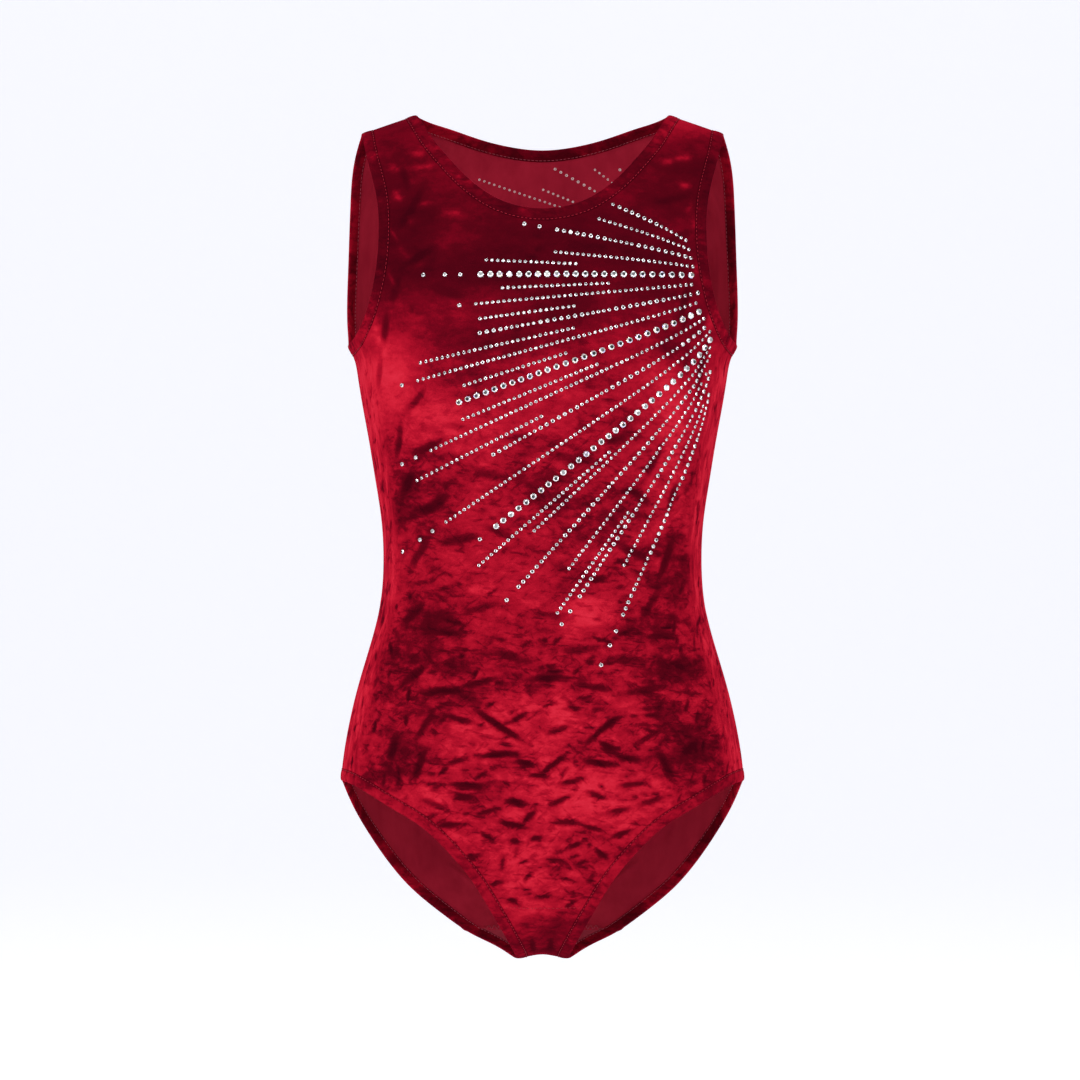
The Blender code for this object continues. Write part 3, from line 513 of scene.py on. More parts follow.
def makeNicks(onFront):
    rng = random.Random(velvet["nickSeed"] + (0 if onFront else 1))
    nicks = []
    for _ in range(velvet["nicks"]):
        x = rng.uniform(-velvet["nickOut"], velvet["nickOut"])
        z = rng.triangular(*velvet["nickHeights"])
        lean = rng.gauss(*velvet["nickLean" if abs(x) < velvet["nickSideFrom"] else "nickSideLean"])
        lower = float(smoothStep(*velvet["nicksDeepen"], z))
        length = rng.uniform(*velvet["nickLength"])
        width = rng.uniform(*velvet["nickWidth"])
        depth = rng.uniform(*velvet["nickDepth"]) * (.5 + .5 * lower)
        # painted shade in each slit, stronger lower down the body
        dark = rng.uniform(*velvet["nickDark"]) * (.35 + .65 * lower)
        nicks.append(creaseRow(x, z, length, width, lean, depth, 0, dark))
    return nicks


creases = {True: velvet["frontCreases"] + makeNicks(True), False: velvet["backCreases"] + makeNicks(False)}


def creaseFields(x, z, onFront):  # depth below the folded cloth, and the painted crease shade, partly the laid-over pile, which paints a highlight where it is negative
    depth = np.zeros_like(x)
    dark = np.zeros_like(x)
    light = np.zeros_like(x)
    for crease in creases[onFront]:
        reach = 2.2 * crease.halfLength + 4 * crease.halfWidth
        near = np.where((np.abs(x - crease.x) < reach) & (np.abs(z - crease.z) < reach))[0]
        turn = math.radians(crease.turn)
        dx, dz = x[near] - crease.x, z[near] - crease.z
        u = dx * math.cos(turn) + dz * math.sin(turn)
        v = dz * math.cos(turn) - dx * math.sin(turn) - crease.bend * u * u
        taper = np.exp(-((u / crease.halfLength) ** 2) ** 1.5)
        narrow = crease.halfWidth * (0.55 + 0.45 * taper)
        trough = taper * np.exp(-((v / narrow) ** 2))
        lip = taper * np.exp(-(((np.abs(v) - 2.1 * narrow) / narrow) ** 2))
        depth[near] += crease.depth * (trough - 0.3 * lip)
        # painted shade: a dark band along each crease, a little to one side; a negative dark paints a
        # highlight instead
        shadow = np.exp(-(((v - 0.25 * narrow) / (0.85 * narrow)) ** 4)) * taper
        dark[near] = np.maximum(dark[near], crease.dark * shadow)
        light[near] = np.maximum(light[near], -crease.dark * taper * np.exp(-((v / crease.halfWidth) ** 2)))
    return depth, dark - light


# painted light and shade over the body's form, mixed with the pile's own lay
def lightShadeAndPileField(x, z, onFront):
    tone = np.zeros_like(x)
    for patch in velvet["frontLightShadeAndPile" if onFront else "backLightShadeAndPile"]:
        across, up = (x - patch.x) / patch.radiusX, (z - patch.z) / patch.radiusZ
        tone += patch.amount * np.exp(-(across**2) - up**2)
    return tone


def clothSurface(flat, onFront, calm=None):  # outer points, normals and how dark, at rows of angle and place
    angle, along = flat[:, 0], flat[:, 1]
    points = foldedForm(angle, along)
    normals = normalsOf(foldedForm, angle, along)
    depth, dark = creaseFields(points[:, 0], points[:, 2], onFront)
    if calm is not None:
        depth = depth * calm
    return points - normals * depth[:, None], normals, dark


print("shape ready: trunk line", round(centre.length), "mm round")


# Meshes

def insideOutline(points, outline):
    found = np.zeros(len(points), bool)
    for a, b in zip(outline, np.roll(outline, -1, axis=0)):
        crosses = (a[1] > points[:, 1]) != (b[1] > points[:, 1])
        if not crosses.any():
            continue
        at = a[0] + (points[:, 1] - a[1]) * (b[0] - a[0]) / (b[1] - a[1])
        found ^= crosses & (points[:, 0] < at)
    return found


def clearOf(points, line, distance):  # the points that lie this far from a closed line
    keep = np.ones(len(points), bool)
    for a, b in zip(line, np.roll(line, -1, axis=0)):
        reach = distance + np.linalg.norm(b - a)
        near = np.where(np.abs(points - a).max(axis=1) < reach)[0]
        if not len(near):
            continue
        step = b - a
        share = np.clip((points[near] - a) @ step / max(step @ step, 1e-9), 0, 1)
        gap = np.linalg.norm(points[near] - a - share[:, None] * step, axis=1)
        keep[near[gap < distance]] = False
    return keep


def triangulated(outline, spacing, needsFine=None):  # a lattice, at half the spacing where that is needed
    low, high = outline.min(axis=0), outline.max(axis=0)
    half = spacing / 2
    lattice, coarse = [], []
    for row, v in enumerate(np.arange(low[1], high[1], half * math.sqrt(3) / 2)):
        across = np.arange(low[0] + (half / 2 if row % 2 else 0), high[0], half)
        lattice.append(np.stack([across, np.full_like(across, v)], axis=1))
        coarse.append((np.arange(len(across)) + row // 2) % 2 == row % 2 * 2)
    lattice, coarse = np.vstack(lattice), np.concatenate(coarse)
    keep = coarse if needsFine is None else coarse | needsFine(lattice)
    lattice = lattice[keep]
    lattice = lattice[insideOutline(lattice, outline)]
    lattice = lattice[clearOf(lattice, outline, 0.6 * spacing)]
    count = len(outline)
    flat = [Vector(point) for point in np.vstack([outline, lattice])]
    made = delaunay_2d_cdt(flat, [(i, (i + 1) % count) for i in range(count)], [list(range(count))], 1, 1e-6)
    return np.array([tuple(point) for point in made[0]]), np.array([tuple(face) for face in made[2]])


def wallFaces(count, faces):  # outer faces, then inner faces and the rim
    sides = {(a, b) for face in faces.tolist() for a, b in zip(face, face[1:] + face[:1])}
    rim = [(b, a, a + count, b + count) for a, b in sorted(sides) if (b, a) not in sides]
    inner = [tuple(i + count for i in reversed(face)) for face in faces.tolist()]
    return [tuple(face) for face in faces.tolist()], inner + rim


sharpEdge = math.radians(55)


def makeObject(name, points, faces, materials, materialIndex=None):
    mesh = bpy.data.meshes.new(name)
    mesh.from_pydata((np.asarray(points) * mm).tolist(), [], faces)
    for material in materials:
        mesh.materials.append(material)
    if materialIndex is not None:
        mesh.polygons.foreach_set("material_index", materialIndex)
    mesh.shade_smooth()
    mesh.set_sharp_from_angle(angle=sharpEdge)
    made = bpy.data.objects.new(name, mesh)
    bpy.context.scene.collection.objects.link(made)
    return made


def tubeFaces(start, rings, sides, joined=False):  # quads from each ring of points to the next one
    ends = rings if joined else rings - 1
    faces = []
    for ring in range(ends):
        a, b = start + ring * sides, start + (ring + 1) % rings * sides
        for k in range(sides):
            m = (k + 1) % sides
            faces.append((a + k, a + m, b + m, b + k))
    return faces


def capFaces(start, rings, sides):  # closes both ends of a tube
    last = start + (rings - 1) * sides
    return [tuple(reversed(range(start, start + sides))), tuple(range(last, last + sides))]


def addField(piece, name, values):
    field = piece.data.attributes.new(name, "FLOAT", "POINT")
    field.data.foreach_set("value", np.asarray(values, np.float32))


def facingOut(points, faces, normals):
    a, b, c = (points[faces[:, i]] for i in range(3))
    inwards = np.einsum("ij,ij->i", np.cross(b - a, c - a), normals[faces[:, 0]]) < 0
    faces = faces.copy()
    faces[inwards] = faces[inwards][:, ::-1]
    return faces


def surfaceArea(points, faces):
    a, b, c = (points[faces[:, i]] for i in range(3))
    return np.linalg.norm(np.cross(b - a, c - a), axis=1).sum() / 2 * mm * mm


def panelOutline(onFront, spacing):
    which = "Front" if onFront else "Back"
    neck, arm, leg = (edges[part + which][1] for part in ("neck", "arm", "leg"))
    gap = 0.1
    inward = 1 if onFront else -1
    shoulderPlace = gap if onFront else centre.length - gap
    crotchPlace = leg[-1, 1] - gap * inward

    def straight(start, end):
        steps = max(1, int(round(np.linalg.norm((end - start) * [shape["radius"], 1.0]) / spacing)))
        return start + (end - start) * np.linspace(0, 1, steps + 1)[1:-1, None]

    heights = np.linspace(centre.zOf(arm[-1, 1]), centre.zOf(leg[0, 1]), 130)[1:-1]
    side = np.array([(quarterTurn, centre.alongAt(z, onFront)) for z in heights])
    half = np.vstack([
        neck[::-1][1:], straight(neck[0], arm[0]), arm, side, leg,
        straight(leg[-1], np.array([0.0, leg[-1, 1]])), [[0.0, crotchPlace]],
    ])
    half[:, 0] = np.minimum(half[:, 0], quarterTurn - gap / 90)
    low, high = sorted((shoulderPlace, crotchPlace))
    half[:, 1] = np.clip(half[:, 1], low, high)
    return np.vstack([neck[-1:], half, half[:-1][::-1] * [-1, 1]])


# Materials: a wire is a socket on which sums can be written

class Wire:
    def __init__(self, recipe, socket):
        self.recipe, self.socket = recipe, socket

    def maths(self, operation, *others, clamp=False):
        values = {i: other for i, other in enumerate([self, *others])}
        return self.recipe.node("ShaderNodeMath", {"operation": operation, "use_clamp": clamp}, values)

    def __add__(self, other):
        return self.maths("ADD", other)

    __radd__ = __add__

    def __sub__(self, other):
        return self.maths("SUBTRACT", other)

    def __rsub__(self, other):
        return (self * -1) + other

    def __mul__(self, other):
        return self.maths("MULTIPLY", other)

    __rmul__ = __mul__

    def orMore(self, other):
        return self.maths("MAXIMUM", other)

    def clamped(self):
        return self.maths("ADD", 0.0, clamp=True)

    def between(self, low, high):  # 0 at low, 1 at high, and straight between them
        return ((self - low) * (1.0 / (high - low))).clamped()


class Recipe:
    def __init__(self, name, constants):
        self.material = bpy.data.materials.new(name)
        self.material.use_nodes = True
        self.tree = self.material.node_tree
        self.shader = self.tree.nodes["Principled BSDF"]
        for socket, value in constants.items():
            self.shader.inputs[socket].default_value = value

    def node(self, kind, settings, sockets, output=0):
        made = self.tree.nodes.new(kind)
        for key, value in settings.items():
            if key == "stops":
                for i, (position, colour) in enumerate(value):
                    elements = made.color_ramp.elements
                    stop = elements[i] if i < len(elements) else elements.new(position)
                    stop.position, stop.color = position, (*colour, 1.0)
            else:
                setattr(made, key, value)
        for key, value in sockets.items():
            if isinstance(value, Wire):
                self.tree.links.new(value.socket, made.inputs[key])
            elif value is not None:
                made.inputs[key].default_value = value
        return Wire(self, made.outputs[output])

    def place(self, stretch=(1, 1, 1)):
        where = self.node("ShaderNodeTexCoord", {}, {}, "Object")
        return self.node("ShaderNodeVectorMath", {"operation": "MULTIPLY"}, {0: where, 1: stretch})

    def noise(self, where, scale, detail, rough):
        sockets = {"Vector": where, "Scale": scale, "Detail": detail, "Roughness": rough}
        return self.node("ShaderNodeTexNoise", {}, sockets)

    def warped(self, where, scale, amount):  # the place, pushed about by a slower noise
        sockets = {"Vector": where, "Scale": scale, "Detail": 2.0}
        push = self.node("ShaderNodeTexNoise", {}, sockets, 1)
        push = self.node("ShaderNodeVectorMath", {"operation": "SUBTRACT"}, {0: push, 1: (.5, .5, .5)})
        push = self.node("ShaderNodeVectorMath", {"operation": "MULTIPLY"}, {0: push, 1: (amount,) * 3})
        return self.node("ShaderNodeVectorMath", {"operation": "ADD"}, {0: where, 1: push})

    def strokes(self, stretch, turn, scale, low, high):  # short brushed marks that lie along one direction
        where = self.node("ShaderNodeTexCoord", {}, {}, "Object")
        sockets = {"Vector": where, "Rotation": (0, math.radians(turn), 0), "Scale": stretch}
        laid = self.warped(self.node("ShaderNodeMapping", {"vector_type": "TEXTURE"}, sockets), 70, .006)
        return self.noise(laid, scale, 3, .55).between(low, high)

    def field(self, name):
        return self.node("ShaderNodeAttribute", {"attribute_name": name}, {}, "Fac")

    def mixed(self, factor, a, b):
        sides = [(*side, 1.0) if isinstance(side, tuple) else side for side in (a, b)]
        return self.node("ShaderNodeMix", {"data_type": "RGBA"}, {0: factor, 6: sides[0], 7: sides[1]}, 2)

    def ramp(self, factor, stops):
        return self.node("ShaderNodeValToRGB", {"stops": stops}, {0: factor})

    def bump(self, height, distance, strength=1.0, under=None):
        sockets = {"Height": height, "Distance": distance, "Strength": strength, "Normal": under}
        return self.node("ShaderNodeBump", {}, sockets)

    def feed(self, socket, wire):
        self.tree.links.new(wire.socket, self.shader.inputs[socket])


velvetLook = {
    "darkest": (0.040, 0.0010, 0.0042),
    "wine": (0.080, 0.0013, 0.0058),
    "deep": (0.140, 0.0016, 0.0082),
    "crimson": (0.262, 0.0030, 0.0130),
    "red": (0.362, 0.0054, 0.0185),
    "bright": (0.475, 0.0105, 0.0265),
    "lightest": (0.610, 0.0240, 0.0470),
    "sheen": 0.06,
    "sheenTint": (1.0, 0.07, 0.15, 1.0),
}


def makeVelvet(name, nap):
    look = velvetLook
    velvetCloth = Recipe(name, {
        "Metallic": 0.0, "Specular IOR Level": 0.0, "Sheen Weight": look["sheen"],
        "Sheen Roughness": 0.35, "Sheen Tint": look["sheenTint"],
    })
    place = velvetCloth.place()
    across = velvetCloth.place((1.0, 1.0, 1.7))  # patches run across the stomach
    upright = velvetCloth.place((1.0, 1.0, 0.22))  # streaks run up the sides
    # tone: painted light and shade over the form, mixed with the pile's lay
    tone = velvetCloth.field("tone")
    # side: share of the painted sheen band up the sides
    side = velvetCloth.field("side")
    # painted crease shade, partly the pile's lay; its negative values are painted highlights
    paintedCreaseShade = velvetCloth.field("paintedCreaseShade")
    crisp = velvetCloth.field("crisp")
    clouds = velvetCloth.noise(velvetCloth.warped(across, 22, .03), 15, 3, .5)
    patches = velvetCloth.noise(velvetCloth.warped(across, 45, .02), 42, 4, .55)
    flecks = velvetCloth.noise(velvetCloth.warped(across, 120, .006), 130, 3, .6)
    streaks = velvetCloth.noise(velvetCloth.warped(upright, 60, .006), 190, 4, .62)
    fine = velvetCloth.noise(place, 900, 2, .5)
    level = velvetCloth.strokes((1.0, 1.0, .26), 6, 75, .56, .66)
    rising = velvetCloth.strokes((1.0, 1.0, .28), -38, 88, .59, .68)
    falling = velvetCloth.strokes((1.0, 1.0, .28), 42, 80, .59, .68)
    upwards = velvetCloth.strokes((.3, 1.0, 1.0), 8, 90, .55, .66)
    middleMarks = level.orMore(rising * .8).orMore(falling * .8)
    calmer = tone.between(.3, -.1) * .5 + .5  # the bright fields are plainer than the dark ones
    centreValue = (clouds - .5) * .6 + (patches - .5) * (crisp * .5 + .3) * calmer
    centreValue = centreValue + (flecks - .5) * (crisp * .4 + .2)
    centreValue = centreValue - middleMarks * (crisp * .15 + .02)
    # painted sheen: the sides, where the cloth turns away from the front, are lifted brighter, with the
    # pile's streaks
    sideSheenValue = (streaks - .5) * 1.1 + (clouds - .5) * .4 - upwards * .26 + .16
    value = centreValue * (1 - side) + sideSheenValue * side + tone + .50
    value = value + (fine - .5) * .10
    # the painted crease shade darkens the colour here, and its negative values lighten it as painted
    # highlights
    value = (value - paintedCreaseShade * (patches * .4 + flecks * .6 + .04)).clamped()
    colour = velvetCloth.ramp(value, [
        (0.0, look["darkest"]), (0.24, look["wine"]), (0.36, look["deep"]), (0.47, look["crimson"]),
        (0.60, look["red"]), (0.70, look["bright"]), (1.0, look["lightest"]),
    ])
    velvetCloth.feed("Base Color", colour)
    velvetCloth.feed("Roughness", (value * -.16 + .66).clamped())
    ruffled = velvetCloth.bump(patches * .6 + flecks * .4 + streaks * side * .5, .0011, .55)
    napped = velvetCloth.bump(velvetCloth.noise(place, 2600, 2, .6), .00012, nap, ruffled)
    velvetCloth.feed("Normal", napped)
    return velvetCloth.material


def makeKnit(name, dark, light, ribScale):
    knit = Recipe(name, {"Metallic": 0.0, "Specular IOR Level": 0.02, "Sheen Weight": 0.04,
                         "Sheen Roughness": 0.5, "Sheen Tint": (1.0, 0.5, 0.55, 1.0)})
    place = knit.place()
    upright = knit.place((1.0, 1.0, 0.12))
    clouds = knit.noise(place, 26, 3, .55)
    pulls = knit.noise(upright, 130, 3, .6)
    sockets = {"Vector": place, "Scale": ribScale, "Distortion": 1.2, "Detail": 2.0, "Detail Scale": 3.0}
    wales = knit.node("ShaderNodeTexWave", {"bands_direction": "X"}, sockets, 1)
    sockets = {"Vector": place, "Scale": ribScale * 1.3, "Distortion": 1.5, "Detail": 2.0}
    courses = knit.node("ShaderNodeTexWave", {"bands_direction": "Z"}, sockets, 1)
    value = ((clouds - .5) * 1.1 + (pulls - .5) * 1.0 + (wales - .5) * .2 + .5).clamped()
    knit.feed("Base Color", knit.mixed(value, dark, light))
    knit.feed("Roughness", (value * -.1 + .88).clamped())
    knit.feed("Normal", knit.bump(wales * .6 + courses * .4, .00016, .6))
    return knit.material


def makeThread(name, dark, light):
    thread = Recipe(name, {"Metallic": 0.0, "Specular IOR Level": 0.08})
    place = thread.place()
    value = thread.noise(place, 1400, 2, .5)
    thread.feed("Base Color", thread.mixed(value.between(.35, .65), dark, light))
    thread.feed("Roughness", (value * .2 + .5).clamped())
    thread.feed("Normal", thread.bump(thread.noise(place, 3200, 1, .5), .0001, .5))
    return thread.material


def makeCrystal():
    crystal = Recipe("cutCrystal", {"Metallic": 1.0, "Coat Weight": 0.4, "Coat Roughness": 0.02})
    tint = crystal.node("ShaderNodeAttribute", {"attribute_name": "tint"}, {}, "Color")
    place = crystal.place()
    flaw = crystal.noise(place, 900, 2, .5)
    crystal.feed("Base Color", crystal.mixed(flaw.between(.3, .8) * .06, tint, (1.0, 1.0, 1.0)))
    crystal.feed("Roughness", (flaw * .12 + .04).clamped())
    return crystal.material


def makeGlue():
    glue = Recipe("stoneGlue", {"Metallic": 0.0, "Specular IOR Level": 0.6})
    cloudy = glue.noise(glue.place(), 1500, 2, .5)
    glue.feed("Base Color", glue.mixed(cloudy.between(.3, .7), (.55, .42, .42), (.86, .80, .80)))
    glue.feed("Roughness", (cloudy * .25 + .28).clamped())
    return glue.material


velvetMaterial = makeVelvet("crushedVelvet", .6)
hemMaterial = makeVelvet("turnedVelvet", .8)
knitMaterial = makeKnit("knittedBack", (.260, .007, .022), (.420, .016, .038), 420)
liningMaterial = makeKnit("softLining", (.24, .018, .034), (.36, .032, .052), 520)
threadMaterial = makeThread("redThread", (.26, .006, .018), (.44, .018, .035))
overlockMaterial = makeThread("paleThread", (.30, .03, .05), (.44, .08, .11))
crystalMaterial = makeCrystal()
glueMaterial = makeGlue()
print("materials ready:", len(bpy.data.materials))


# Front and back panels

def panelFields(flat, points, dark, onFront):
    # painted sheen up the sides, weaker towards the armholes
    sideSheen = smoothStep(*velvet["sideSheenBand"], np.abs(np.sin(flat[:, 0])))
    heightZ = points[:, 2]
    crisp = sum(smoothStep(start, end, heightZ) * share for start, end, share in velvet["crispBands"])
    start, end, calmer = velvet["calmBand"]
    crisp = crisp * (1 - calmer * smoothStep(start, end, heightZ))
    arm = smoothStep(*velvet["armBand"], heightZ)
    return {
        "tone": lightShadeAndPileField(points[:, 0], heightZ, onFront),
        "side": sideSheen * (1 - .75 * arm),
        "paintedCreaseShade": dark,
        "crisp": crisp,
    }


def makePanel(name, onFront):
    scale = np.array([shape["radius"], 1.0])
    outline = panelOutline(onFront, velvet["panelSpacing"]) * scale

    def creased(lattice):
        places = foldedForm(lattice[:, 0] / shape["radius"], lattice[:, 1])
        _, dark = creaseFields(places[:, 0], places[:, 2], onFront)
        return np.abs(dark) > velvet["fineAbove"]

    flatScaled, faces = triangulated(outline, velvet["panelSpacing"], creased)
    flat = flatScaled / scale
    calm = np.where(clearOf(flatScaled, outline, velvet["calmWithin"]), 1.0, velvet["calmed"])
    points, normals, dark = clothSurface(flat, onFront, calm)
    faces = facingOut(points, faces, normals)
    outer, others = wallFaces(len(points), faces)
    inner = points - normals * velvet["thickness"]
    index = [0] * len(outer) + [1] * len(others)
    materials = [velvetMaterial, knitMaterial]
    piece = makeObject(name, np.vstack([points, inner]), outer + others, materials, index)
    for field, values in panelFields(flat, points, dark, onFront).items():
        addField(piece, field, np.concatenate([values, values]))
    area = surfaceArea(points, faces)
    print(name, len(outer), "triangles a face,", round(area, 4), "m2")
    return piece, area


edges = makeEdges(shape["edgeSpacing"])
frontPiece, frontArea = makePanel("frontPanel", True)
backPiece, backArea = makePanel("backPanel", False)


# Turned edges

hem = {
    # across the band from the stitches to the fold, and out from the cloth's face
    "section": [
        (0.00, -.25), (.03, .05), (.09, .22), (.16, .12), (.24, .38), (.42, .52), (.62, .52), (.80, .42),
        (.93, .1), (.99, -.45), (1.0, -.95), (.97, -1.5), (.88, -1.95), (.70, -2.15), (.45, -2.15),
        (.2, -2.05), (.06, -1.85), (0.00, -1.35),
    ],
    "gap": 0.12,
    "pucker": 0.10,  # the elastic draws the edge into small waves
    "puckerLength": 4.2,
    "outsideAbove": -1,
    # the painted light and shade, mixed with the pile's lay, reach the turned edges at this share
    "lightShadeAndPileShare": .75,
    "darkerOutside": .05,
    # painted shade on the turned edge's inner face
    "paintedShadeInside": .12,
    "sideSheenShare": .6,
    # painted shade in the groove at the outer stitches
    "stitchGrooveShade": .55,
    "crisp": .5,
    "tangentReach": .4,
    "stitchLength": 2.1,
    "stitchPitch": 2.9,
    "stitchRadius": 0.2,
    "outerStitches": .095,
    "innerStitches": .15,
    "outerLift": .16,
    "innerLift": -2.1,
    "liningLift": .1,
    "liningLineShare": .97,
}


def ringOf(front, back):  # a closed edge from its halves, which both start at the shoulder or hip
    return np.vstack([front[:-1], back[::-1][:-1]])


def neckRing(which):
    front, back = edges["neckFront"][which], edges["neckBack"][which]
    flip = np.array([-1, 1])
    return np.vstack([front[:-1], (front * flip)[::-1][:-1], (back * flip)[:-1], back[::-1][:-1]])


def hemRings():
    rings = {"neckHem": (neckRing(0), neckRing(1), "neck_hem")}
    for side, sign in (("Right", -1), ("Left", 1)):
        for part, node in (("arm", "armhole_hem_"), ("leg", "leg_hem_")):
            flip = np.array([sign, 1])
            halves = zip(edges[part + "Front"], edges[part + "Back"])
            fold, stitched = (ringOf(front, back) * flip for front, back in halves)
            rings[part + "Hem" + side] = (fold, stitched, node + side.lower())
    return rings


def hemRows(fold, stitched, share):
    share = (hem["gap"] + share * (shape["hemWidth"] - hem["gap"])) / shape["hemWidth"]
    return stitched + (fold - stitched) * share


def makeHem(name, fold, stitched, node):
    middle = plainForm(fold[:, 0], fold[:, 1])
    travelled = lengthsAlong(np.vstack([middle, middle[:1]]))
    waves = max(1, round(travelled[-1] / hem["puckerLength"]))
    phase = travelled[:-1] / travelled[-1] * waves * 2 * math.pi
    wobble = np.sin(phase) * .6 + np.sin(phase * .37 + 1) * .4
    sections = []
    fields = {"tone": [], "side": [], "paintedCreaseShade": [], "crisp": []}
    for across, out in hem["section"]:
        rows = hemRows(fold, stitched, across)
        front = onFrontOf(rows[:, 1])
        points = foldedForm(rows[:, 0], rows[:, 1])
        normals = normalsOf(foldedForm, rows[:, 0], rows[:, 1])
        pucker = hem["pucker"] * math.sin(math.pi * min(1, across + .1)) * (1 if out > 0 else .4)
        sections.append(points + normals * (out + wobble * pucker)[:, None])
        toneFront, toneBack = (lightShadeAndPileField(points[:, 0], points[:, 2], onFront) for onFront in (True, False))
        tone = np.where(front, toneFront, toneBack)
        outside = out > hem["outsideAbove"]
        # painted light and shade carried onto the turned edge, with painted shade on its inner face
        fields["tone"].append(tone * hem["lightShadeAndPileShare"] - hem["darkerOutside" if outside else "paintedShadeInside"])
        # painted sheen up the sides, at a share on the turned edges
        fields["side"].append(smoothStep(*velvet["sideSheenBand"], np.abs(np.sin(rows[:, 0]))) * hem["sideSheenShare"])
        # painted shade in the stitch groove, on the outside only
        stitchGrooveShade = math.exp(-((across - hem["outerStitches"]) / .05) ** 2) * hem["stitchGrooveShade"] if outside else 0
        # painted shade in the troughs of the puckered edge
        fields["paintedCreaseShade"].append(np.full(len(rows), stitchGrooveShade) + np.clip(-wobble, 0, 1) * .1)
        fields["crisp"].append(np.full(len(rows), hem["crisp"]))
    count, corners = len(fold), len(hem["section"])
    points = np.stack(sections, axis=1).reshape(-1, 3)
    faces = []
    for i in range(count):
        j = (i + 1) % count
        for k in range(corners):
            m = (k + 1) % corners
            faces.append((i * corners + k, j * corners + k, j * corners + m, i * corners + m))
    centres = np.repeat(np.stack(sections, axis=1).mean(axis=1), corners, axis=0)
    quads = facingOut(points, np.array(faces), points - centres)
    piece = makeObject(name, points, quads.tolist(), [hemMaterial])
    for field, values in fields.items():
        addField(piece, field, np.stack(values, axis=1).reshape(-1))
    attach(piece, "root")
    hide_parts(node)
    return piece


rings = hemRings()
hemPieces = {name: makeHem(name, *ring) for name, ring in rings.items()}
print("turned edges:", ", ".join(hemPieces))


# Sewing

def stitchMesh(points, tangents, normals, length, radius, sides=6):
    ends = [(-.5, .25), (-.36, .85), (0, 1), (.36, .85), (.5, .25)]  # along the stitch, and how thick
    vertices, faces = [], []
    for point, tangent, normal in zip(points, tangents, normals):
        beside = np.cross(normal, tangent)
        start = len(vertices)
        for along, thick in ends:
            lift = .45 - 1.3 * (2 * abs(along)) ** 3
            centreAt = point + tangent * along * length + normal * radius * lift
            for k in range(sides):
                turn = 2 * math.pi * k / sides
                spoke = beside * math.cos(turn) + normal * math.sin(turn)
                vertices.append(centreAt + spoke * radius * thick)
        faces += tubeFaces(start, len(ends), sides) + capFaces(start, len(ends), sides)
    return vertices, faces


def placesAlong(rows, pitch, out, closed=True):
    rows = np.vstack([rows, rows[:1]]) if closed else rows
    points = foldedForm(rows[:, 0], rows[:, 1])
    lengths = lengthsAlong(points)
    count = max(2, int(lengths[-1] / pitch))
    at = (np.arange(count) + .5) / count * lengths[-1]
    rowNormals = normalsOf(foldedForm, rows[:, 0], rows[:, 1])
    centreAt = np.stack([np.interp(at, lengths, points[:, i]) for i in range(3)], axis=1)
    near = hem["tangentReach"]
    ahead = np.stack([np.interp(at + near, lengths, points[:, i]) for i in range(3)], axis=1)
    behind = np.stack([np.interp(at - near, lengths, points[:, i]) for i in range(3)], axis=1)
    tangents = ahead - behind
    tangents /= np.linalg.norm(tangents, axis=1, keepdims=True)
    normals = np.stack([np.interp(at, lengths, rowNormals[:, i]) for i in range(3)], axis=1)
    normals -= tangents * np.einsum("ij,ij->i", normals, tangents)[:, None]
    normals /= np.linalg.norm(normals, axis=1, keepdims=True)
    return centreAt + normals * out, tangents, normals


def addStitches(name, runs, material, inside=False):
    vertices, faces = [], []
    for rows, out, closed in runs:
        points, tangents, normals = placesAlong(rows, hem["stitchPitch"], out, closed)
        outwards = -normals if inside else normals
        made = stitchMesh(points, tangents, outwards, hem["stitchLength"], hem["stitchRadius"])
        faces += [tuple(i + len(vertices) for i in face) for face in made[1]]
        vertices += made[0]
    piece = makeObject(name, vertices, faces, [material])
    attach(piece, "root")
    return piece


def hemRuns(across, out):
    return [(hemRows(fold, stitched, across), out, True) for fold, stitched, _ in rings.values()]


def liningLine(out):
    place = centre.alongAt(shape["liningTopZ"], True)
    leg = edges["legFront"][1]
    widest = leg[np.argmin(np.abs(leg[:, 1] - place)), 0]
    angles = np.linspace(-widest, widest, 40) * hem["liningLineShare"]
    return np.stack([angles, np.full_like(angles, place)], axis=1), out, False


outerRuns = hemRuns(hem["outerStitches"], hem["outerLift"]) + [liningLine(hem["liningLift"])]
innerRuns = hemRuns(hem["innerStitches"], hem["innerLift"])
outerStitches = addStitches("outerStitches", outerRuns, threadMaterial)
innerStitches = addStitches("innerStitches", innerRuns, overlockMaterial, inside=True)
print("stitches ready")


# Overlocked seams inside: a narrow turned strip with its looped thread

seam = {
    "width": 5.5,
    "height": .9,
    "corners": 10,
    "inside": .45,
    "shortOfHem": 2.0,
    "turnShortOfHem": .02,
    "threadPitch": 1.9,
    "threadRadius": .17,
    "threadSides": 5,
    "threadReach": .86,
    "threadLean": .35,
    "threadUnder": .02,
}


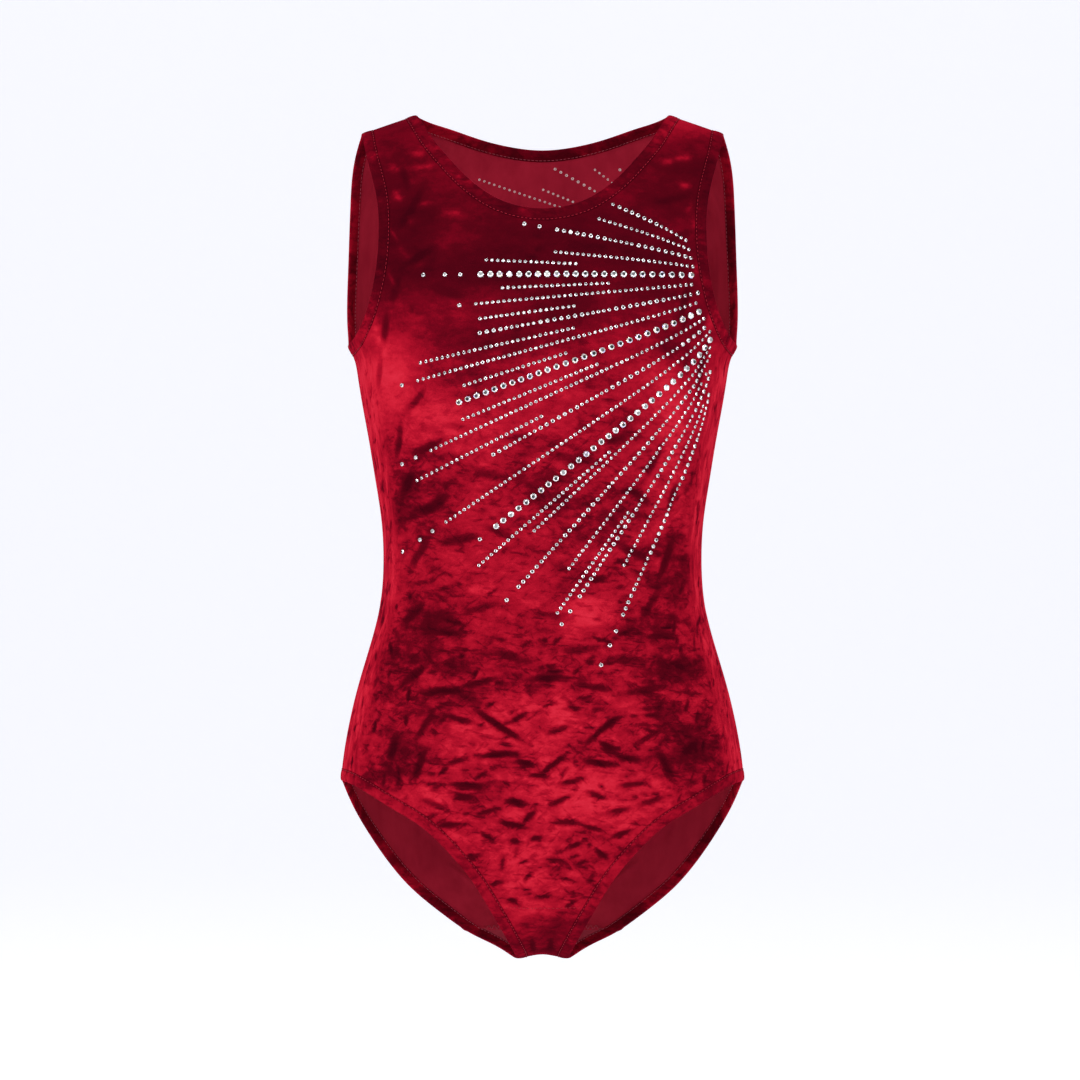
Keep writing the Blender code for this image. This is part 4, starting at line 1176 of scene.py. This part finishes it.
def seamLines():
    neck, arm, leg = edges["neckFront"][1], edges["armFront"][1], edges["legFront"][1]
    short, turnShort = seam["shortOfHem"], seam["turnShortOfHem"]
    sideZ = np.linspace(centre.zOf(arm[-1, 1]) - short, centre.zOf(leg[0, 1]) + short, 110)
    lines = []
    for sign in (-1, 1):
        lines.append(np.array([(sign * quarterTurn, centre.alongAt(z, True)) for z in sideZ]))
        shoulder = np.linspace(neck[0, 0] + turnShort, arm[0, 0] - turnShort, 18)
        lines.append(np.stack([sign * shoulder, np.zeros_like(shoulder)], axis=1))
    seamPlace = centre.base + shape["crotchSeamBehindBase"]
    width = leg[-1, 0] - turnShort
    across = np.linspace(-width, width, 40)
    lines.append(np.stack([across, np.full_like(across, seamPlace)], axis=1))
    return lines


def makeSeams():
    stripVertices, stripFaces, threadVertices, threadFaces = [], [], [], []
    depth = velvet["thickness"] + seam["inside"]
    corners = seam["corners"]
    for rows in seamLines():
        points = foldedForm(rows[:, 0], rows[:, 1])
        tangents = np.gradient(points, axis=0)
        tangents /= np.linalg.norm(tangents, axis=1, keepdims=True)
        normals = normalsOf(foldedForm, rows[:, 0], rows[:, 1])
        beside = np.cross(normals, tangents)
        start = len(stripVertices)
        for i in range(len(points)):
            sway = .35 * math.sin(i * .9) + .2 * math.sin(i * 2.3)
            for k in range(corners):
                turn = 2 * math.pi * k / corners
                square = math.copysign(abs(math.cos(turn)) ** .6, math.cos(turn))
                wide = square * (seam["width"] / 2 + .12 * sway)
                deep = depth + seam["height"] / 2 - math.sin(turn) * seam["height"] / 2
                stripVertices.append(points[i] - normals[i] * deep + beside[i] * wide)
        stripFaces += tubeFaces(start, len(points), corners) + capFaces(start, len(points), corners)
        under = -(depth + seam["height"] + seam["threadUnder"])
        centreAt, along, normal = placesAlong(rows, seam["threadPitch"], under, False)
        for i in range(len(centreAt)):
            beside = np.cross(normal[i], along[i])
            lean = along[i] * seam["threadLean"] * (1 if i % 2 else -1) + beside
            lean /= np.linalg.norm(lean)
            reach = seam["width"] * seam["threadReach"]
            thick, sides = seam["threadRadius"], seam["threadSides"]
            made = stitchMesh([centreAt[i]], [lean], [-normal[i]], reach, thick, sides)
            threadFaces += [tuple(k + len(threadVertices) for k in face) for face in made[1]]
            threadVertices += made[0]
    strip = makeObject("seamAllowances", stripVertices, stripFaces, [knitMaterial])
    threads = makeObject("overlockThreads", threadVertices, threadFaces, [overlockMaterial])
    for piece, slotName in ((strip, "knit_back"), (threads, "thread")):
        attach(piece, "root")
    return strip, threads


seamStrip, seamThreads = makeSeams()
print("seams ready")


# Crotch lining

lining = {"spacing": 2.6, "thickness": .8, "gap": .25}


def makeLining():
    leg = edges["legFront"][1]
    top = centre.alongAt(shape["liningTopZ"], True)
    rows = leg[leg[:, 1] > top]
    rows = np.vstack([[np.interp(top, leg[:, 1], leg[:, 0]), top], rows])
    outline = np.vstack([rows, rows[::-1] * [-1, 1]])
    outline[:, 1] = np.clip(outline[:, 1], None, leg[-1, 1] - .4)
    dense = []
    for a, b in zip(outline, np.roll(outline, -1, axis=0)):
        steps = max(1, int(np.linalg.norm((b - a) * [shape["radius"], 1.0]) / lining["spacing"]))
        dense += [a + (b - a) * k / steps for k in range(steps)]
    scale = np.array([shape["radius"], 1.0])
    flat, faces = triangulated(np.array(dense) * scale, lining["spacing"])
    flat = flat / scale
    points, normals, _ = clothSurface(flat, True)
    faces = facingOut(points, faces, normals)
    area = surfaceArea(points, faces)
    outerPoints = points - normals * (velvet["thickness"] + lining["gap"])
    innerPoints = outerPoints - normals * lining["thickness"]
    outer, others = wallFaces(len(points), faces)
    points = np.vstack([outerPoints, innerPoints])
    piece = makeObject("crotchLining", points, outer + others, [liningMaterial])
    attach(piece, "root")
    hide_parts("crotch_lining")
    return piece, area


liningPiece, liningArea = makeLining()
print("lining ready,", round(liningArea, 4), "m2")


# Cut stones: a fan of rays from the wearer's left side, made by rule on the front and on the back

stones = {
    "rays": 19,
    "infillUpTo": .55,
    "sizes": {"small": 2.55, "medium": 3.2, "large": 4.8},
    "pitch": {"small": 3.8, "medium": 4.7, "large": 6.5},
    "bow": 5,
    "front": {"start": (102, -88), "end": (114.5, -186), "first": 22, "last": -66, "onFront": True},
    "back": {"start": (84, -62), "end": (108, -168), "first": 42, "last": -66, "onFront": False},
    "reach": [(0, 66), (.1, 100), (.2, 146), (.35, 196), (.55, 226), (.8, 205), (1, 172)],
    "shortening": [1.0, .86, .95, .78, 1.0, .90, .82],
    "tipStones": [1, 0, 2, 0, 3, 1, 0],
    "largeEvery": 4,
    "largeUpTo": 13,
    "steeper": .5,  # close to the arc the rays turn away from level by this share more
    "steeperOver": 26,
    "mostSteeper": 20,
    "seed": 5,
    "clear": .98,  # neighbours stay at least this share of their diameters apart
    "highest": -24,
    "lowest": -400,
    "farthestOut": 116,
    "inFromNeck": 4,
    "inFromArm": 3,
    "inFromSide": 5,
    "tilt": .05,
    "iridescentShare": .3,
    "glueShare": .34,
    "glueSides": 6,
    "cutSides": {"small": 6, "medium": 8, "large": 10},
}


def stoneSize(i):
    if i and i % stones["largeEvery"] == 0 and i < stones["largeUpTo"]:
        return "large"
    return "small" if i % 2 else "medium"


class Ray:  # a bowed line of stones, walked in short steps from the arc outwards
    def __init__(self, fan, share):
        bow = stones["bow"] * math.sin(math.pi * share)
        self.x = fan["start"][0] + (fan["end"][0] - fan["start"][0]) * share + bow
        self.z = fan["start"][1] + (fan["end"][1] - fan["start"][1]) * share
        self.far = fan["first"] + (fan["last"] - fan["first"]) * share ** .92
        self.travelled = 0.0

    def go(self, distance):
        for _ in range(8):
            most = stones["mostSteeper"]
            extra = max(-most, min(most, stones["steeper"] * self.far))
            turn = math.radians(self.far + extra * math.exp(-self.travelled / stones["steeperOver"]))
            self.x -= math.cos(turn) * distance / 8
            self.z += math.sin(turn) * distance / 8
            self.travelled += distance / 8


def fanStones(fan):
    rng = random.Random(stones["seed"] + (0 if fan["onFront"] else 9))
    reachAt = cubicSpline([row[0] for row in stones["reach"]], [row[1] for row in stones["reach"]])
    placed = []

    def add(x, z, size, iridescent=False):
        radius = stones["sizes"][size] / 2
        for ox, oz, other, _ in placed:
            if math.hypot(x - ox, z - oz) < (radius + stones["sizes"][other] / 2) * stones["clear"]:
                return
        placed.append((x, z, size, iridescent))

    for i in sorted(range(stones["rays"]), key=stoneSize):
        share = i / (stones["rays"] - 1)
        ray = Ray(fan, share)
        length = float(reachAt(share)) * stones["shortening"][i % 7]
        size = stoneSize(i)
        iridescent = size == "large" and i == 2 * stones["largeEvery"]
        while ray.travelled < length:
            near = "small" if size != "large" and .3 < math.sin(ray.travelled / 9 + i) else size
            add(ray.x, ray.z, near, iridescent)
            ray.go(stones["pitch"][near] * rng.uniform(.96, 1.04))
        gap = stones["pitch"]["medium"] * 1.6
        for _ in range(stones["tipStones"][i % 7]):
            ray.go(gap)
            gap *= 1.4
            add(ray.x, ray.z, "medium", iridescent)
    for i in range(3, stones["rays"] - 1):  # short rows that fill the widening gaps
        share = (i + .5) / (stones["rays"] - 1)
        if share > stones["infillUpTo"] and i % 3:
            continue
        ray = Ray(fan, share)
        length = float(reachAt(share)) * (.84 + .18 * (i % 3 == 0))
        ray.go(length * (.46 + .12 * (i % 2)))
        while ray.travelled < length:
            add(ray.x, ray.z, "small")
            ray.go(stones["pitch"]["small"] * rng.uniform(.97, 1.03))
    return placed


def onCloth(fan, x, z):  # the stone has to lie inside the panel, clear of its edges
    out = abs(x)
    if out > stones["farthestOut"] or z > stones["highest"] or z < stones["lowest"]:
        return False
    which = "Front" if fan["onFront"] else "Back"
    neckRows = [*shape["neck" + which][::-1], edgeRow(97, 0)]
    armRows = [*shape["arm" + which], edgeRow(134, -170)]
    neckLimit = np.interp(out, [row.x for row in neckRows], [row.z for row in neckRows])
    armLimit = np.interp(-z, [-row.z for row in armRows], [row.x for row in armRows])
    return (
        z < neckLimit - shape["hemWidth"] - stones["inFromNeck"]
        and out < armLimit - shape["hemWidth"] - stones["inFromArm"]
        and out < float(halfWidthAt(z)) - stones["inFromSide"]
    )


cutRow = namedtuple("cutRow", "out up shift")  # shares of the radius, and of a side


def stoneMesh(size, sides):  # a flat-backed cut: table, crown and thin girdle
    radius = stones["sizes"][size] / 2
    section = [cutRow(.96, 0, 0), cutRow(1, .25, 0), cutRow(.78, .55, .5), cutRow(.5, .72, 0)]
    vertices = []
    for out, up, shift in section:
        for i in range(sides):
            turn = 2 * math.pi * (i + shift) / sides
            vertices.append((out * radius * math.cos(turn), out * radius * math.sin(turn), up * radius))
    faces = []
    for k in range(len(section) - 1):
        for i in range(sides):
            j = (i + 1) % sides
            a, b = k * sides, (k + 1) * sides
            if k == 0:
                faces.append((a + i, a + j, b + j, b + i))
            elif k == 1:
                faces += [(a + i, a + j, b + i), (a + j, b + j, b + i)]
            else:
                faces += [(a + i, b + j, b + i), (a + i, a + j, b + j)]
    faces.append(tuple(3 * sides + i for i in range(sides)))
    faces.append(tuple(i for i in reversed(range(sides))))
    return np.array(vertices), faces


stoneTints = {
    "clear": [(.96, .96, .95), (.84, .85, .86), (.99, .98, .97), (.70, .70, .72), (.97, .97, .98)],
    "iridescent": [
        (.97, .93, .70), (.66, .62, .96), (.98, .80, .70), (.74, .92, .88), (.98, .97, .98), (.84, .72, .95),
    ],
    # table: near-black tints for the top face, a painted dark reflection in the crystal
    "table": [(.03, .036, .033), (.05, .055, .05), (.02, .026, .023), (.10, .11, .10), (.26, .27, .26)],
}


def makeStones(name, fan):
    rng = random.Random(stones["seed"] + 40)
    cuts = {size: stoneMesh(size, sides) for size, sides in stones["cutSides"].items()}
    placed = [row for row in fanStones(fan) if onCloth(fan, row[0], row[1])]
    flat = np.array([locate(x, z, fan["onFront"]) for x, z, _, _ in placed])
    points, normals, _ = clothSurface(flat, fan["onFront"])
    vertices, faces, tints = [], [], []
    for (_, _, size, iridescent), point, normal in zip(placed, points, normals):
        up = Vector(normal + np.array([rng.gauss(0, stones["tilt"]) for _ in range(3)])).normalized()
        turn = up.to_track_quat("Z", "Y").to_matrix()
        spin = rng.uniform(0, 2 * math.pi)
        local, localFaces = cuts[size]
        cos, sin = math.cos(spin), math.sin(spin)
        spun = local @ np.array([(cos, sin, 0), (-sin, cos, 0), (0, 0, 1)])
        start = len(vertices)
        vertices += list(spun @ np.array(turn).T + point + np.array(up) * .05)
        shines = iridescent or (size == "large" and rng.random() < stones["iridescentShare"])
        palette = stoneTints["iridescent" if shines else "clear"]
        for k, face in enumerate(localFaces):
            faces.append(tuple(i + start for i in face))
            tone = rng.uniform(.9, 1.0)
            # the top face takes the painted dark reflection
            onTable = k == len(localFaces) - 2
            tints.append(tuple(c * tone for c in rng.choice(stoneTints["table"] if onTable else palette)))
    piece = makeObject(name, vertices, faces, [crystalMaterial])
    piece.data.set_sharp_from_angle(angle=math.radians(2))
    colours = piece.data.attributes.new("tint", "FLOAT_COLOR", "CORNER")
    values = [(*tint, 1.0) for face, tint in zip(faces, tints) for _ in face]
    colours.data.foreach_set("color", np.array(values, np.float32).reshape(-1))
    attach(piece, "root")
    print(name, len(placed), "stones")
    return piece, flat, placed


def makeGlueMarks(name, flat, placed, onFront):  # rings of set glue behind the stones
    points, normals, _ = clothSurface(flat, onFront)
    vertices, faces = [], []
    sides = stones["glueSides"]
    for (_, _, size, _), point, normal in zip(placed, points, normals):
        turn = np.array(Vector(-normal).to_track_quat("Z", "Y").to_matrix())
        radius = stones["sizes"][size] * stones["glueShare"]
        start = len(vertices)
        for r, h in ((radius, 0), (radius * .92, .2), (radius * .5, .2), (radius * .42, 0)):
            for k in range(sides):
                angle = 2 * math.pi * k / sides
                local = np.array([r * math.cos(angle), r * math.sin(angle), h + .02])
                vertices.append(point - normal * velvet["thickness"] + turn @ local)
        faces += tubeFaces(start, 4, sides, joined=True)
    piece = makeObject(name, vertices, faces, [glueMaterial])
    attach(piece, "root")
    return piece


frontStones, frontFlat, frontPlaced = makeStones("frontStones", stones["front"])
backStones, backFlat, backPlaced = makeStones("backStones", stones["back"])
frontGlue = makeGlueMarks("frontGlue", frontFlat, frontPlaced, True)
backGlue = makeGlueMarks("backGlue", backFlat, backPlaced, False)


# The cloth's cut sizes, and the panels hung on the root in place of the part's front and back

cut = {
    "stretch": .87,  # the area before it is worn, as a share of the worn area
    "liningStretch": .92,
    "frontSize": (.345, .665),
    "backSize": (.374, .591),
    "liningSize": (.085, .115),
}

for piece, node, area, size, trims in (
    (frontPiece, "front", frontArea, cut["frontSize"], [
        *hemPieces.values(), frontStones, frontGlue, outerStitches, innerStitches, seamStrip, seamThreads,
    ]),
    (backPiece, "back", backArea, cut["backSize"], [backStones, backGlue]),
):
    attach(piece, "root")
    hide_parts(node)
    area * cut["stretch"]


# Backdrop, lights and camera

lightRow = namedtuple("lightRow", "name place size power")

stage = {
    "floorZ": -0.78,
    "halfWidth": 7.0,
    "wallY": 6.0,
    "bend": 2.5,
    "front": -7.0,
    "top": 6.0,
    "glow": 0.27,  # lifts the paper to the near white of the picture
    "colour": (0.86, 0.86, 0.89),
    "skyColour": (.92, .93, .98, 1.0),
    "skyStrength": .69,
    "lightsAimAt": (0, 0, -.3),
    "lights": [lightRow(*row) for row in [
        ("frontSoftbox", (-.5, -3.4, 1.3), (1.8, 1.6), 46), ("leftStrip", (-2.4, -.9, .1), (.7, 2.2), 17),
        ("rightStrip", (2.4, -.9, .1), (.7, 2.2), 17), ("topSoftbox", (0, .2, 2.3), (1.8, 1.4), 16),
    ]],
    "photoSize": 1080,
    "pixel": 0.0007,
    "middleX": 542.5,
    "originRow": 124.5,
    "distance": 3.0,
    "sensor": 36.0,
}


def makeBackdrop():
    profile = [(stage["front"], stage["floorZ"])]
    bend = stage["bend"]
    for turn in np.linspace(0, quarterTurn, 25):
        profile.append((
            stage["wallY"] - bend + bend * math.sin(turn),
            stage["floorZ"] + bend - bend * math.cos(turn),
        ))
    profile.append((stage["wallY"], stage["top"]))
    vertices = [(x, y, z) for y, z in profile for x in (-stage["halfWidth"], stage["halfWidth"])]
    faces = [(2 * i, 2 * i + 1, 2 * i + 3, 2 * i + 2) for i in range(len(profile) - 1)]
    mesh = bpy.data.meshes.new("backdrop")
    mesh.from_pydata(vertices, [], faces)
    mesh.shade_smooth()
    paper = Recipe("backdropPaper", {
        "Metallic": 0.0, "Specular IOR Level": 0.1, "Emission Strength": stage["glow"],
        "Emission Color": stage["skyColour"],
    })
    grain = paper.noise(paper.place(), 60, 2, .5)
    paper.feed("Base Color", paper.mixed(grain, stage["colour"], tuple(c * 1.01 for c in stage["colour"])))
    paper.feed("Roughness", (grain * .1 + .85).clamped())
    mesh.materials.append(paper.material)
    backdrop = bpy.data.objects.new("backdrop", mesh)
    bpy.context.scene.collection.objects.link(backdrop)


def makeLights():
    for row in stage["lights"]:
        lamp = bpy.data.lights.new(row.name, "AREA")
        lamp.shape = "RECTANGLE"
        lamp.size, lamp.size_y = row.size
        lamp.energy = row.power
        made = bpy.data.objects.new(row.name, lamp)
        made.location = row.place
        towards = Vector(stage["lightsAimAt"]) - Vector(row.place)
        made.rotation_euler = towards.to_track_quat("-Z", "Y").to_euler()
        bpy.context.scene.collection.objects.link(made)
    world = bpy.data.worlds.new("studio")
    world.use_nodes = True
    background = world.node_tree.nodes["Background"]
    background.inputs["Color"].default_value = stage["skyColour"]
    background.inputs["Strength"].default_value = stage["skyStrength"]
    bpy.context.scene.world = world


def makeCamera():
    half = stage["photoSize"] / 2
    x = (half - stage["middleX"]) * stage["pixel"]
    z = -(half - stage["originRow"]) * stage["pixel"]
    view = bpy.data.cameras.new("camera")
    view.sensor_width = stage["sensor"]
    view.lens = stage["sensor"] * stage["distance"] / (stage["photoSize"] * stage["pixel"])
    camera = bpy.data.objects.new("camera", view)
    camera.location = (x, -stage["distance"], z)
    camera.rotation_euler = (quarterTurn, 0, 0)
    bpy.context.scene.collection.objects.link(camera)
    bpy.context.scene.camera = camera


makeBackdrop()
makeLights()
makeCamera()
bpy.context.scene.view_settings.view_transform = "Standard"
print("studio ready")
